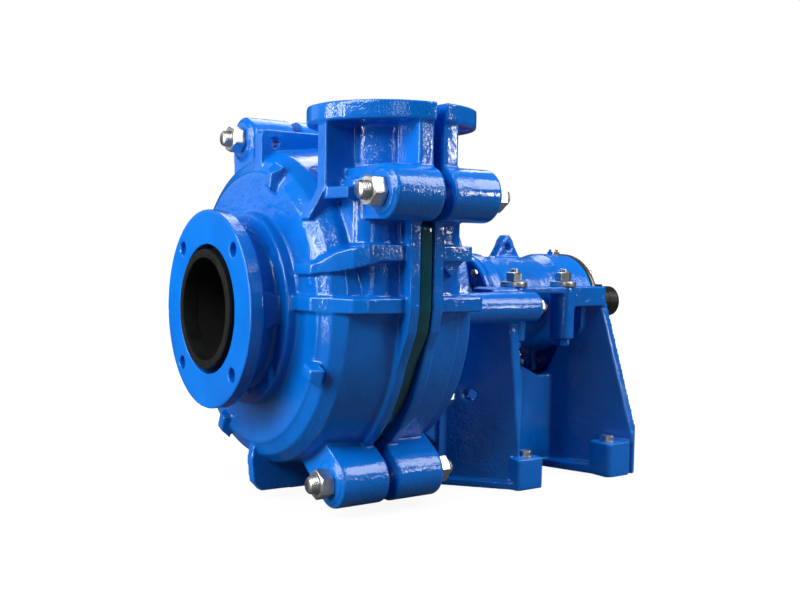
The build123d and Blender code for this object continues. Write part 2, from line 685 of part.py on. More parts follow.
def shaft():
    profile = [(0, SHAFT_NOSE_Y), (SHAFT_THREAD_R - 2, SHAFT_NOSE_Y), (SHAFT_THREAD_R, SHAFT_NOSE_Y + 2),
               (SHAFT_THREAD_R, IMP_REAR_Y + 5), (SHAFT_WET_R, IMP_REAR_Y + 6), (SHAFT_WET_R, 462),
               (SHAFT_MID_R, 463), (SHAFT_MID_R, 511), (SHAFT_BEARING_R, 512), (SHAFT_BEARING_R, 561.1),
               (SHAFT_BEARING_R + 5, 561.6), (SHAFT_BEARING_R + 5, 688.4), (SHAFT_BEARING_R, 688.9),
               (SHAFT_BEARING_R, 726), (SHAFT_MID_R, 727), (SHAFT_MID_R, 792), (SHAFT_END_R, 793),
               (SHAFT_END_R, KEY_Y1 + 1), (SHAFT_END_R - LAND_GROOVE, KEY_Y1 + 1),
               (SHAFT_END_R - LAND_GROOVE, LAND_Y0), (SHAFT_END_R, LAND_Y0),
               (SHAFT_END_R, SHAFT_TIP_Y - 2.5), (SHAFT_END_R - 2.5, SHAFT_TIP_Y), (0, SHAFT_TIP_Y)]
    solid = turned(profile)
    key_seat = block(-9, 9, KEY_Y0, KEY_Y1, SHAFT_END_R - 7, SHAFT_END_R + 5)
    return solid - key_seat


def shaft_key():
    bar = block(-9, 9, KEY_Y0, KEY_Y1, SHAFT_END_R - 7, SHAFT_END_R + 4)
    return chamfer(bar.edges().group_by(Axis.Z)[-1], 0.8)


def shaft_sleeve():
    profile = [(SHAFT_WET_R + 0.03, SLEEVE_Y0), (SLEEVE_R, SLEEVE_Y0), (SLEEVE_R, SLEEVE_Y1),
               (SHAFT_WET_R + 0.03, SLEEVE_Y1)]
    return turned(profile)


def shaft_spacer():
    return tube_y(32, SHAFT_WET_R + 0.03, SLEEVE_Y1, SLEEVE_Y1 + 14)


def release_collar():
    solid = tube_y(40, SHAFT_WET_R + 0.03, SLEEVE_Y1 + 14, 462)
    for k in range(3):
        slot = block(30, 48, SLEEVE_Y1 + 12, 464, -1.2, 1.2)
        solid = solid - Rot(0, 30 + 120 * k, 0) * slot
    return solid


# Stuffing box

def gland_bolt_spots():
    return [(66.0, 0.0), (-66.0, 0.0)]


def stuffing_box():
    profile = [(SLEEVE_R + 2, BOX_Y0), (BOX_FLANGE_R, BOX_Y0), (BOX_FLANGE_R, FRAME_FACE_Y + 4),
               (BOX_R, FRAME_FACE_Y + 10), (BOX_R, BOX_Y1), (BOX_BORE_R, BOX_Y1),
               (BOX_BORE_R, BOX_FLOOR_Y),
               (SLEEVE_R + 2, BOX_FLOOR_Y)]
    solid = turned(profile)
    for x, z in gland_bolt_spots():
        solid = solid - cyl_y(6, BOX_Y1 - 34, BOX_Y1 + 1, x, z)
    port_y = LANTERN_Y0 + LANTERN_T / 2
    solid = solid - cyl_z(PORT_R, PORT_SEAT_Z, BOX_R + 6, 0, port_y)
    return solid - cyl_z(PORT_INNER_R, BOX_BORE_R - 2, PORT_SEAT_Z + 1, 0, port_y)


def lantern_ring():
    ring = tube_y(BOX_BORE_R - 0.2, SLEEVE_R + 0.4, LANTERN_Y0, LANTERN_Y0 + LANTERN_T)
    groove = tube_y(BOX_BORE_R + 1, BOX_BORE_R - 4, LANTERN_Y0 + 4, LANTERN_Y0 + LANTERN_T - 4)
    solid = ring - groove
    for k in range(4):
        solid = solid - Rot(0, 45 + 90 * k, 0) * cyl_z(2.5, 30, 60, 0, LANTERN_Y0 + LANTERN_T / 2)
    return solid


def packing_rings():
    rings = []
    for k in range(PACKING_COUNT):
        y0 = BOX_FLOOR_Y + k * PACKING_T
        if k >= PACKING_FRONT:
            y0 = y0 + LANTERN_T
        rings.append(tube_y(BOX_BORE_R - 0.1, SLEEVE_R + 0.35, y0 + 0.2, y0 + PACKING_T - 0.2))
    return rings


def gland_halves():
    ring = turned([(SLEEVE_R + 1.5, GLAND_NOSE_Y), (BOX_BORE_R - 0.5, GLAND_NOSE_Y),
                   (BOX_BORE_R - 0.5, GLAND_Y0),
                   (GLAND_R, GLAND_Y0), (GLAND_R, GLAND_Y1), (SLEEVE_R + 1.5, GLAND_Y1)])
    for x, z in gland_bolt_spots():
        ring = ring - cyl_y(6.8, GLAND_Y0 - 1, GLAND_Y1 + 1, x, z)
    halves = []
    for sign in (-1, 1):
        z0, z1 = (0.25, 90) if sign > 0 else (-90, -0.25)
        halves.append(ring & block(-95, 95, 380, 430, z0, z1))
    return halves


def gland_bolts():
    parts = []
    for x, z in gland_bolt_spots():
        bolt = bolt_y(6, BOX_Y1 - 33, 448, x, z, 1.0)
        nut = hex_y(11, 429, 439, x, z)
        parts.append(bolt + nut)
    return parts


# Bearing assembly

def bearing_housing():
    profile = [(HOUSING_BORE_R, HOUSING_Y0), (HOUSING_END_R - 3, HOUSING_Y0),
               (HOUSING_END_R - 1, HOUSING_Y0 + 3),
               (HOUSING_END_R - 1, HOUSING_Y0 + 24), (HOUSING_R, HOUSING_Y0 + 36), (HOUSING_R, 652),
               (HOUSING_END_R, 676), (HOUSING_END_R, HOUSING_Y1 - 2), (HOUSING_END_R - 2, HOUSING_Y1),
               (HOUSING_BORE_R, HOUSING_Y1), (HOUSING_BORE_R, REAR_BEARING_Y + CUP_W + 2),
               (CUP_R + 0.02, REAR_BEARING_Y + CUP_W + 1),
               (CUP_R + 0.02, REAR_BEARING_Y), (58, REAR_BEARING_Y - 1),
               (58, FRONT_BEARING_Y + CUP_W + 1),
               (CUP_R + 0.02, FRONT_BEARING_Y + CUP_W), (CUP_R + 0.02, FRONT_BEARING_Y - 1),
               (HOUSING_BORE_R, FRONT_BEARING_Y - 2)]
    solid = turned(profile)
    eye = side_plate([(EYE_Y - 36, 78), (EYE_Y - 17, 108), (EYE_Y - 13, 118), (EYE_Y - 5, EYE_TOP),
                      (EYE_Y + 5, EYE_TOP), (EYE_Y + 13, 118), (EYE_Y + 17, 108), (EYE_Y + 36, 78)],
                     -9, 9)
    eye = eye - Pos(0, 0, 0) * hole_x(7, EYE_Y, EYE_HOLE_Z)
    solid = solid + (eye - cyl_y(HOUSING_R - 6, EYE_Y - 60, EYE_Y + 60))
    lug = side_plate([(PULL_LUG_Y0, -80), (PULL_LUG_Y0, ADJUST_Z - 16), (PULL_LUG_Y1, ADJUST_Z - 16),
                      (PULL_LUG_Y1, -80)], -16, 16)
    solid = solid + (lug - cyl_y(HOUSING_R - 6, 640, 700)) - cyl_y(9.5, 655, 690, 0, ADJUST_Z)
    for y in (HOUSING_Y0, HOUSING_Y1):
        for k in range(4):
            a = math.radians(45 + 90 * k)
            y0, y1 = (y - 1, y + 22) if y == HOUSING_Y0 else (y - 22, y + 1)
            solid = solid - cyl_y(4, y0, y1, 81 * math.cos(a), 81 * math.sin(a))
    for y, z in grease_spots():
        solid = solid - cyl_z(4, 60, 100, 0, y) - cyl_z(8, z - 1.5, z + 5, 0, y)
    return solid


def grease_spots():
    return [(REAR_BEARING_Y + 25, HOUSING_END_R), (REAR_BEARING_Y + 42.5, HOUSING_END_R)]


def end_cover(front):
    if front:
        pts = [(SHAFT_MID_R + 6.5, HOUSING_Y0 - COVER_T - GASKET_T),
               (HOUSING_END_R - 4, HOUSING_Y0 - COVER_T - GASKET_T),
               (HOUSING_END_R - 1, HOUSING_Y0 - COVER_T - GASKET_T + 3),
               (HOUSING_END_R - 1, HOUSING_Y0 - GASKET_T),
               (HOUSING_BORE_R - 0.4, HOUSING_Y0 - GASKET_T), (HOUSING_BORE_R - 0.4, FRONT_BEARING_Y - 6),
               (60, FRONT_BEARING_Y - 6), (60, HOUSING_Y0 - 3), (SHAFT_MID_R + 6.5, HOUSING_Y0 - 3)]
    else:
        y = HOUSING_Y1 + GASKET_T
        pts = [(SHAFT_MID_R + 6.5, y + COVER_T), (HOUSING_END_R - 6, y + COVER_T),
               (HOUSING_END_R, y + COVER_T - 6),
               (HOUSING_END_R, y), (HOUSING_BORE_R - 0.4, y),
               (HOUSING_BORE_R - 0.4, REAR_BEARING_Y + CUP_W + 6),
               (60, REAR_BEARING_Y + CUP_W + 6), (60, y + 1.5), (SHAFT_MID_R + 6.5, y + 1.5)]
    solid = turned(pts)
    for k in range(4):
        a = math.radians(45 + 90 * k)
        x, z = 81 * math.cos(a), 81 * math.sin(a)
        y0, y1 = (HOUSING_Y0 - 30, HOUSING_Y0) if front else (HOUSING_Y1, HOUSING_Y1 + 30)
        solid = solid - cyl_y(4.6, y0, y1, x, z)
    return solid


def cover_gasket(front):
    if front:
        ring = tube_y(HOUSING_END_R - 0.5, HOUSING_BORE_R + 1, HOUSING_Y0 - GASKET_T, HOUSING_Y0)
        y0 = HOUSING_Y0
    else:
        ring = tube_y(HOUSING_END_R + 0.6, HOUSING_BORE_R + 1, HOUSING_Y1, HOUSING_Y1 + GASKET_T)
        y0 = HOUSING_Y1
    for k in range(4):
        a = math.radians(45 + 90 * k)
        ring = ring - cyl_y(4.6, y0 - 3, y0 + 3, 81 * math.cos(a), 81 * math.sin(a))
    return ring


def cover_screws(front):
    parts = []
    for k in range(4):
        a = math.radians(45 + 90 * k)
        x, z = 81 * math.cos(a), 81 * math.sin(a)
        if front:
            y = HOUSING_Y0 - COVER_T - GASKET_T
            screw = bolt_y(4, y - 1, y + 34, x, z, 0.6) + hex_y(7.4, y - 6, y, x, z)
        else:
            y = HOUSING_Y1 + COVER_T + GASKET_T
            screw = bolt_y(4, y - 34, y + 1, x, z, 0.6) + hex_y(7.4, y, y + 6, x, z)
        parts.append(screw)
    return parts


def bearing(y0, flip):
    # tapered roller bearing: cup, cone and a ring of rollers with its cage
    def sta(v):
        return y0 + (CUP_W - v if flip else v)
    cup = turned([(CUP_R, sta(0)), (CUP_R, sta(CUP_W)), (55.3, sta(CUP_W)), (58.0, sta(0))])
    cone = turned([(SHAFT_BEARING_R + 0.02, sta(0)), (50.5, sta(0)), (50.5, sta(3)), (48.55, sta(3.6)),
                   (47.0, sta(26.6)), (48.8, sta(27)), (48.8, sta(31)),
                   (SHAFT_BEARING_R + 0.02, sta(31))])
    roller = (Pos(0, y0, ROLLER_MEAN_R) * Rot(-4.5, 0, 0) * Pos(0, 5, 0)
              * turned([(0, 0), (4.35, 0), (4.1, 20), (0, 20)]))
    cage = tube_y(56.2, 51.2, y0 + 2.6, y0 + 4.4) + tube_y(54.4, 49.6, y0 + 25.6, y0 + 27.4)
    bar = Pos(0, y0, ROLLER_MEAN_R) * Rot(-4.5, 0, 0) * Pos(0, 15, 0) * Box(3.6, 24, 1.6)
    rollers = []
    for k in range(ROLLER_COUNT):
        turn = 360.0 / ROLLER_COUNT
        rollers.append(Rot(0, turn * k, 0) * roller)
        cage = cage + Rot(0, turn * (k + 0.5), 0) * bar
    rollers.append(cage)
    if flip:
        middle = Plane(origin=(0, y0 + CUP_W / 2, 0), z_dir=(0, 1, 0))
        rollers = [mirror(piece, middle) for piece in rollers]
    return cup, cone, rollers


def labyrinth(front):
    if front:
        y1 = HOUSING_Y0 - COVER_T - GASKET_T - 1.0
        return turned([(SHAFT_MID_R + 0.02, 465), (52, 465), (62, y1 - 6), (62, y1),
                       (SHAFT_MID_R + 0.02, y1)])
    y0 = HOUSING_Y1 + COVER_T + GASKET_T + 1.0
    return turned([(SHAFT_MID_R + 0.02, y0), (62, y0), (62, y0 + 6), (52, y0 + 14),
                   (SHAFT_MID_R + 0.02, y0 + 14)])


def lock_nut():
    y0 = HOUSING_Y1 + COVER_T + GASKET_T + 15.0
    ring = tube_y(47, SHAFT_MID_R + 0.02, y0, y0 + 14)
    for k in range(4):
        ring = ring - Rot(0, 45 + 90 * k, 0) * block(43, 50, y0 - 1, y0 + 15, -4, 4)
    return ring


def grease_retainer(front):
    if front:
        return turned([(SHAFT_BEARING_R + 8, 563.0), (57.6, 563.0), (57.6, 566.5),
                       (SHAFT_BEARING_R + 8, 566.5)])
    return turned([(SHAFT_BEARING_R + 8, 684.5), (57.6, 684.5), (57.6, 688.0),
                   (SHAFT_BEARING_R + 8, 688.0)])


def grease_nipple(y, z):
    body = hex_z(5.5, z - 1.5, z + 4.5, 0, y)
    stem = cyl_z(3.98, z - 12, z - 1, 0, y)
    tip = cyl_z(2.6, z + 4, z + 9, 0, y)
    return body + stem + tip


# Pedestal

def wing(sign, x0, y0, x1, y1, top_x, z_top, inner_x, inner_z):
    # leg plate that runs from the centre box out to a foot
    dx, dy = x1 - x0, y1 - y0
    length = math.hypot(dx, dy)
    nx, ny = -dy / length, dx / length
    pts = [(x0, y0), (x1, y1), (x1 + nx * WALL_T, y1 + ny * WALL_T), (x0 + nx * WALL_T, y0 + ny * WALL_T)]
    plate = plan_plate(pts, GROUND, z_top)
    trim = end_plate([(inner_x, z_top + 1), (top_x, z_top + 1), (x1, GROUND + 52), (x1, GROUND),
                      (0, GROUND),
                      (0, inner_z), (x0 + 6, inner_z)], 330, 800)
    plate = plate & trim
    return plate if sign > 0 else mirror(plate, Plane.YZ)


def pedestal_side(sign):
    parts = []
    # rail with its end block and the two clamp columns
    rail = block(RAIL_X0, RAIL_X1, RAIL_Y0, RAIL_Y1, RAIL_TOP - RAIL_T, RAIL_TOP)
    parts.append(rail)
    parts.append(block(RAIL_X0 + 4, RAIL_X1, RAIL_Y1 - 76, RAIL_Y1, 0, RAIL_TOP - RAIL_T + 1))
    for y in (CLAMP_FRONT_Y, CLAMP_REAR_Y):
        parts.append(cyl_z(COLUMN_R, COLUMN_BOTTOM, RAIL_TOP - 1, CLAMP_X, y))
    # arm that carries the long frame stud
    parts.append(cyl_y(ARM_R, RING_Y0, ARM_Y1, ARM_X, ARM_Z))
    parts.append(block(ARM_X - 60, ARM_X - 4, RAIL_Y0 - 8, 500, 0, RAIL_TOP - 2))
    parts.append(cyl_y(22, RING_Y0, LOWER_ARM_Y1, LOWER_ARM_X, LOWER_ARM_Z))
    # front foot
    foot = block(130, 183, 483, 540, GROUND, GROUND + 53)
    foot = fillet(foot.edges().filter_by(Axis.Z).group_by(Axis.X)[-1], 5)
    parts.append(foot)
    # rear foot
    rear_foot = block(138, 190, FOOT_REAR_Y - 25, FOOT_REAR_Y + 36, GROUND, GROUND + 60)
    parts.append(fillet(rear_foot.edges().filter_by(Axis.Z), 10))
    body = merge(parts)
    if sign < 0:
        body = mirror(body, Plane.YZ)
    return body


def pedestal():
    solid = tube_y(RING_R, RING_BORE_R, RING_Y0, RING_Y0 + RING_T)
    front_wall = end_plate([(-76, GROUND), (76, GROUND), (76, -62), (52, -92), (-52, -92), (-76, -62)],
                           396, 396 + WALL_T)
    solid = solid + front_wall
    # lower link between the front ring and the front wall
    for sign in (-1, 1):
        x = sign * 62
        web = side_plate([(RING_Y0 + 2, -96), (RING_Y0 + 2, -188), (396, -236), (420, -236), (420, -80),
                          (396, -66)], x - 7, x + 7)
        solid = solid + web
    for sign in (-1, 1):
        solid = solid + pedestal_side(sign)
        solid = solid + wing(sign, 68, 401, 172, 494, 155, ARM_Z, 0, ARM_Z)
        solid = solid + wing(sign, 42, 662, 188, 758, 130, 12, 96, -128)
        lip_f = plan_plate([(70, 394), (176, 488), (172, 494), (66, 402)], GROUND, GROUND + 12)
        solid = solid + (lip_f if sign > 0 else mirror(lip_f, Plane.YZ))
        lip_r = plan_plate([(46, 652), (150, 690), (150, 730), (46, 664)], GROUND, GROUND + 14)
        solid = solid + (lip_r if sign > 0 else mirror(lip_r, Plane.YZ))
        x0, x1 = (43, 55) if sign > 0 else (-55, -43)
        web = side_plate([(402, GROUND), (402, -92), (470, -112), (600, -112), (640, -132), (672, -132),
                          (672, GROUND)], x0, x1)
        solid = solid + web
    rear_wall = end_plate([(-50, GROUND), (50, GROUND), (50, ADJUST_Z + 26), (24, ADJUST_Z + 30),
                           (-24, ADJUST_Z + 30), (-50, ADJUST_Z + 26)], 700, 714)
    solid = solid + rear_wall
    for sign in (-1, 1):
        x0, x1 = (43, 55) if sign > 0 else (-55, -43)
        web = side_plate([(668, GROUND), (668, -150), (714, ADJUST_Z + 10), (714, GROUND)], x0, x1)
        solid = solid + web
    solid = solid + cyl_y(16, 684, 730, 0, ADJUST_Z)
    # saddles under the two end bands of the bearing housing
    for y0, y1 in ((507, 519), (697, 713)):
        saddle = end_plate([(-RAIL_X0 - 9, RAIL_TOP - 6), (-RAIL_X0 - 9, -40), (-52, -117), (52, -117),
                            (RAIL_X0 + 9, -40), (RAIL_X0 + 9, RAIL_TOP - 6)], y0, y1)
        solid = solid + saddle
    seat = turned([(0, 420), (HOUSING_END_R - 1 + SADDLE_GAP, 420), (HOUSING_END_R - 1 + SADDLE_GAP, 530),
                   (HOUSING_R + 6.5, 538), (HOUSING_R + 6.5, 640), (HOUSING_END_R + SADDLE_GAP, 660),
                   (HOUSING_END_R + SADDLE_GAP, 800), (0, 800)])
    solid = solid - seat
    solid = solid - block(-96.5, 96.5, 441, 761, 1, 61)
    solid = solid - cyl_y(RING_BORE_R, 300, 501)
    for x, z in frame_stud_spots():
        solid = solid - cyl_y(STUD_R + HOLE_GAP, RING_Y0 - 1, ARM_Y1 + 1, x, z)
    for sx in (-1, 1):
        for y in (CLAMP_FRONT_Y, CLAMP_REAR_Y):
            solid = solid - cyl_z(CLAMP_R + HOLE_GAP, COLUMN_BOTTOM - 1, RAIL_TOP + 1, sx * CLAMP_X, y)
        for y in (FOOT_FRONT_Y, FOOT_REAR_Y):
            solid = solid - cyl_z(FOOT_HOLE_R, GROUND - 1, GROUND + FOOT_HOLE_DEPTH, sx * FOOT_HALF_X, y)
            solid = solid - cyl_z(FOOT_BOLT_R + 0.2, GROUND, GROUND + 62, sx * FOOT_HALF_X, y)
    return solid - cyl_y(8 + HOLE_GAP, 680, 735, 0, ADJUST_Z)


# Fasteners

def clamp_bolts():
    parts = []
    for sx in (-1, 1):
        for y in (CLAMP_FRONT_Y, CLAMP_REAR_Y):
            stem = cyl_z(CLAMP_R, COLUMN_BOTTOM - 2, 67, sx * CLAMP_X, y)
            stem = chamfer(stem.edges().group_by(Axis.Z)[-1], 1.5)
            head = hex_z(16, COLUMN_BOTTOM - 12, COLUMN_BOTTOM, sx * CLAMP_X, y, 10)
            parts.append(stem + head)
    return parts


def clamp_washers():
    parts = []
    for sx in (-1, 1):
        for y in (CLAMP_FRONT_Y, CLAMP_REAR_Y):
            ring = cyl_z(23.5, RAIL_TOP, RAIL_TOP + 9, sx * CLAMP_X, y)
            ring = fillet(ring.edges().group_by(Axis.Z)[-1], 1.5)
            parts.append(ring - cyl_z(CLAMP_R + 0.4, RAIL_TOP - 1, RAIL_TOP + 10, sx * CLAMP_X, y))
    return parts


def clamp_nuts():
    parts = []
    for sx in (-1, 1):
        for y, turn in ((CLAMP_FRONT_Y, 18), (CLAMP_REAR_Y, 2)):
            nut = hex_z(15.2, RAIL_TOP + 9, RAIL_TOP + 25, sx * CLAMP_X, y, turn)
            parts.append(nut - cyl_z(CLAMP_R + 0.02, RAIL_TOP, RAIL_TOP + 40, sx * CLAMP_X, y))
    return parts


def casing_bolts():
    y0 = BOSS_FRONT_Y - PAD_T - NUT_T - BOLT_TIP
    y1 = BOSS_REAR_Y + PAD_T + NUT_T + BOLT_TIP
    return [bolt_y(CASING_BOLT_R, y0, y1, x, z) for x, z in CASING_BOLTS]


def casing_nuts():
    parts = []
    for k, (x, z) in enumerate(CASING_BOLTS):
        front_y = BOSS_FRONT_Y - PAD_T - NUT_T
        rear_y = BOSS_REAR_Y + PAD_T
        for y0, turn in ((front_y, 8 + 11 * k), (rear_y, 20 + 17 * k)):
            nut = hex_y(CASING_NUT_R, y0, y0 + NUT_T, x, z, turn)
            parts.append(nut - cyl_y(CASING_BOLT_R + 0.02, y0 - 5, y0 + 40, x, z))
    return parts


def frame_studs():
    parts = []
    for x, z in frame_stud_spots():
        end = ARM_Y1 + 26 if z > -50 else LOWER_ARM_Y1 + 22
        parts.append(bolt_y(STUD_R - 0.02, FRAME_FACE_Y - 27, end, x, z, 1.5))
    return parts


def frame_nuts():
    parts = []
    for x, z in frame_stud_spots():
        y0 = ARM_Y1 if z > -50 else LOWER_ARM_Y1
        nut = hex_y(NUT_R, y0, y0 + 15, x, z, 12)
        parts.append(nut - cyl_y(STUD_R, y0 - 2, y0 + 20, x, z))
    return parts


def adjusting_screw():
    return bolt_y(8, 640, 752, 0, ADJUST_Z, 1.2)


def adjusting_nuts():
    parts = []
    for y0, y1 in ((PULL_LUG_Y0 - NUT_PLAY - 13, PULL_LUG_Y0 - NUT_PLAY),
                   (PULL_LUG_Y1 + NUT_PLAY, PULL_LUG_Y1 + NUT_PLAY + 8)):
        nut = hex_y(13.8, y0, y1, 0, ADJUST_Z)
        parts.append(nut - cyl_y(8.05, y0 - 2, y1 + 2, 0, ADJUST_Z))
    return parts


def adjusting_lock_nut():
    nut = hex_y(13.8, 730, 742, 0, ADJUST_Z)
    return nut - cyl_y(8.02, 728, 745, 0, ADJUST_Z)


def foot_bolts():
    parts = []
    for sx in (-1, 1):
        for y, top in ((FOOT_FRONT_Y, GROUND + 53), (FOOT_REAR_Y, GROUND + 60)):
            x = sx * FOOT_HALF_X
            stem = cyl_z(FOOT_BOLT_R, GROUND + FOOT_HOLE_DEPTH + FOOT_BOLT_GAP, top + 2, x, y)
            parts.append(stem + hex_z(11.5, top + 2, top + 11, x, y) + cyl_z(12.5, top, top + 2.2, x, y))
    return parts


def save(name, solid):
    solids = solid if isinstance(solid, list) else [solid]
    moved = []
    for piece in solids:
        placed = Pos(0, -FOOT_MID_Y, SHAFT_HEIGHT) * piece
        moved.extend(placed.solids())
    shape = moved[0] if len(moved) == 1 else Compound(children=moved)
    shape.label = name
    export_step(shape, "parts/" + name + ".step")
    print(name, len(moved), round(sum(s.volume for s in moved) / 1000, 1), flush=True)


def main():
    os.makedirs("parts", exist_ok=True)
    save("pedestal", pedestal())
    save("cover_plate", cover_plate())
    save("frame_plate", frame_plate())
    save("volute_liner", volute_liner())
    save("throatbush", throatbush())
    save("back_liner", back_liner())
    save("liner_seals", [seal_ring(LINER_SIDE_Y0), seal_ring(LINER_SIDE_Y1 - SEAL_T)])
    save("suction_joint_ring", suction_joint_ring())
    save("discharge_joint_ring", discharge_joint_ring())
    save("impeller", impeller())
    save("impeller_seal_ring", impeller_seal_ring())
    save("shaft", shaft())
    save("shaft_key", shaft_key())
    save("shaft_sleeve", shaft_sleeve())
    save("shaft_spacer", shaft_spacer())
    save("release_collar", release_collar())
    save("stuffing_box", stuffing_box())
    save("lantern_ring", lantern_ring())
    save("packing_rings", packing_rings())
    save("gland_halves", gland_halves())
    save("gland_bolts", gland_bolts())
    save("bearing_housing", bearing_housing())
    save("front_end_cover", end_cover(True))
    save("rear_end_cover", end_cover(False))
    save("end_cover_gaskets", [cover_gasket(True), cover_gasket(False)])
    save("end_cover_screws", cover_screws(True) + cover_screws(False))
    for label, y0, flip in (("front", FRONT_BEARING_Y, False), ("rear", REAR_BEARING_Y, True)):
        cup, cone, rollers = bearing(y0, flip)
        save(label + "_bearing_cup", cup)
        save(label + "_bearing_cone", cone)
        save(label + "_bearing_rollers", rollers)
        save(label + "_labyrinth", labyrinth(label == "front"))
    save("grease_retainers", [grease_retainer(True), grease_retainer(False)])
    save("labyrinth_lock_nut", lock_nut())
    save("grease_nipples", [grease_nipple(y, z) for y, z in grease_spots()])
    save("clamp_bolts", clamp_bolts())
    save("clamp_washers", clamp_washers())
    save("clamp_nuts", clamp_nuts())
    save("casing_bolts", casing_bolts())
    save("casing_nuts", casing_nuts())
    save("frame_studs", frame_studs())
    save("frame_nuts", frame_nuts())
    save("adjusting_screw", adjusting_screw())
    save("adjusting_nuts", adjusting_nuts())
    save("adjusting_lock_nut", adjusting_lock_nut())
    save("foot_bolts", foot_bolts())


main()
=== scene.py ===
import json
import math

import bmesh
import bpy
from mathutils import Matrix, Vector


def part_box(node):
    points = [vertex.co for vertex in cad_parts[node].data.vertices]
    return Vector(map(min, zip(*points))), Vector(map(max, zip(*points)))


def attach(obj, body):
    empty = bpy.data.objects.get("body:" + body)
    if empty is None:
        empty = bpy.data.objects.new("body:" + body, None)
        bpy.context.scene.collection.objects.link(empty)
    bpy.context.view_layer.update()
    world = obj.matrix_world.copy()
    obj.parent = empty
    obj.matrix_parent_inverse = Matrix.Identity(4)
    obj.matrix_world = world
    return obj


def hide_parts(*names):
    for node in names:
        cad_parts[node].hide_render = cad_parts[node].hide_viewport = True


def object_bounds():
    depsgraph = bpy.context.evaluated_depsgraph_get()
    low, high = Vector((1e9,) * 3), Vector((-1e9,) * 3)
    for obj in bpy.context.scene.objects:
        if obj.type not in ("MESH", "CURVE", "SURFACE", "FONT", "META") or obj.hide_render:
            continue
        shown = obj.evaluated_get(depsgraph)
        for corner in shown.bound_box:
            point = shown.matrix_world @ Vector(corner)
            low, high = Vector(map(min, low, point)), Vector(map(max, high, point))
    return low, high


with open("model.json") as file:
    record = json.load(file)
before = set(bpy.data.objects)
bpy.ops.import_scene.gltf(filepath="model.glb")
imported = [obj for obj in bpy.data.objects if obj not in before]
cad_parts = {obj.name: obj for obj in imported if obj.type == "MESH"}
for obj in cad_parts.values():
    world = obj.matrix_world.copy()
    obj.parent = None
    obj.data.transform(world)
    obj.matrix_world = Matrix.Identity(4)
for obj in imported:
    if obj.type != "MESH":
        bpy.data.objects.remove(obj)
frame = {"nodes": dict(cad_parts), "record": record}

CAD_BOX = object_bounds()
RECORD = frame["record"]

# Camera, solved from the two flanges in the photograph
CAMERA_PLACE = Vector((1.4178, -1.2418, 0.4034))
CAMERA_AZIMUTH = 55.092
CAMERA_PITCH = 2.969
CAMERA_ROLL = 1.099
CAMERA_LENS = 44.75
SENSOR_WIDTH = 36.0
CLIP_START = 0.05
CLIP_END = 60

# Colours, linear
WHITE = (1, 1, 1)
BLUE = (0.0004, 0.152, 0.63)
BLUE_DEEP = (0.0003, 0.130, 0.56)
BLUE_PALE = (0.0008, 0.176, 0.69)
TEAL = (0.001, 0.075, 0.100)
TEAL_DEEP = (0.001, 0.045, 0.065)
STEEL = (0.70, 0.71, 0.70)
SHAFT_STEEL = (0.32, 0.32, 0.33)
BEARING_STEEL = (0.62, 0.62, 0.64)
WEAR_ALLOY = (0.03, 0.03, 0.032)
BRASS = (0.80, 0.55, 0.18)
BLACK = (0.012, 0.011, 0.011)
RUBBER = (0.007, 0.008, 0.008)
BROWN = (0.085, 0.042, 0.024)
PACKING = (0.42, 0.36, 0.26)

# Enamel: size and depth of its swells and of its orange peel, in metres
SWELL_SIZE = 0.024
SWELL_DEPTH = 0.0009
PEEL_SIZE = 0.0036
PEEL_DEPTH = 0.0008
ENAMEL_SPECULAR = 0.06
BOLT_PAINT_SPECULAR = 0.1
RUBBER_SPECULAR = 0.05

# Places where one finish ends on a piece, in metres
MASK_BLEND = 0.0004
MACHINED_SKIN = 0.0008
PAINT_ABOVE_RAIL = 0.003
BLACK_SHAFT_LENGTH = 0.060
COVER_RIM = 0.0145
COVER_MARGIN = 0.0006

# Skins of the castings, in metres
SKIN_VOXEL = 0.0020
SOFTEN_ROUNDS = 5
CRISP = 0.15
FLANGE_DEPTH = 0.024
TOP_FACE_DEPTH = 0.004

# Cleaning of a CAD mesh: metres and degrees
JOIN_DISTANCE = 0.00001
FLAT_ANGLE = 0.5

# Columns round a thread and a nut, rows in each thread turn
TURN_COLUMNS = 40
TURN_ROWS = 6
NUT_COLUMNS = 72

# Shape of a thread, in pitches
THREAD_DEPTH = 0.60
THREAD_TIP = 0.8
CREST_WIDTH = 1.25

# Shape of a hexagon nut: face in flats, sink in wall thicknesses, corner angle in degrees
NUT_FACE = 0.96
NUT_SINK = 0.12
NUT_CHAMFER = 30

# Nuts: node and axis
NUTS = (
    ("casing_nuts", "Y"),
    ("frame_nuts", "Y"),
    ("adjusting_nuts", "Y"),
    ("adjusting_lock_nut", "Y"),
    ("clamp_nuts", "Z"),
)

# Threads: node, axis, radius, pitch, threaded length at the low end and at the high end
THREADS = (
    ("casing_bolts", "Y", 0.013, 0.003, 0.036, 0.036),
    ("frame_studs", "Y", 0.009, 0.0022, 0, 0.030),
    ("clamp_bolts", "Z", 0.008, 0.002, 0, 0.034),
    ("adjusting_screw", "Y", 0.008, 0.002, 0, 0.100),
)

# Small pieces: node, width and steps of the rounding on their edges
ROUNDED = (
    ("clamp_washers", 0.0006, 2),
    ("foot_bolts", 0.0006, 2),
    ("rear_end_cover", 0.0006, 2),
    ("front_end_cover", 0.0006, 2),
    ("end_cover_screws", 0.0006, 2),
    ("suction_joint_ring", 0.0012, 3),
    ("discharge_joint_ring", 0.0010, 2),
)

# Lamps: name, azimuth, rise, distance, width, height, power, whether gloss shows it
LAMPS = (
    ("key", 11, 1.5, 2.7, 1.8, 1.3, 72, True),
    ("over", 150, 2.8, 0.9, 2.4, 2.4, 76, False),
    ("right_fill", 131, 2.0, 2.5, 1.6, 1.6, 58, True),
    ("back_fill", 236, 2.6, 1.9, 2.0, 2.0, 46, True),
)

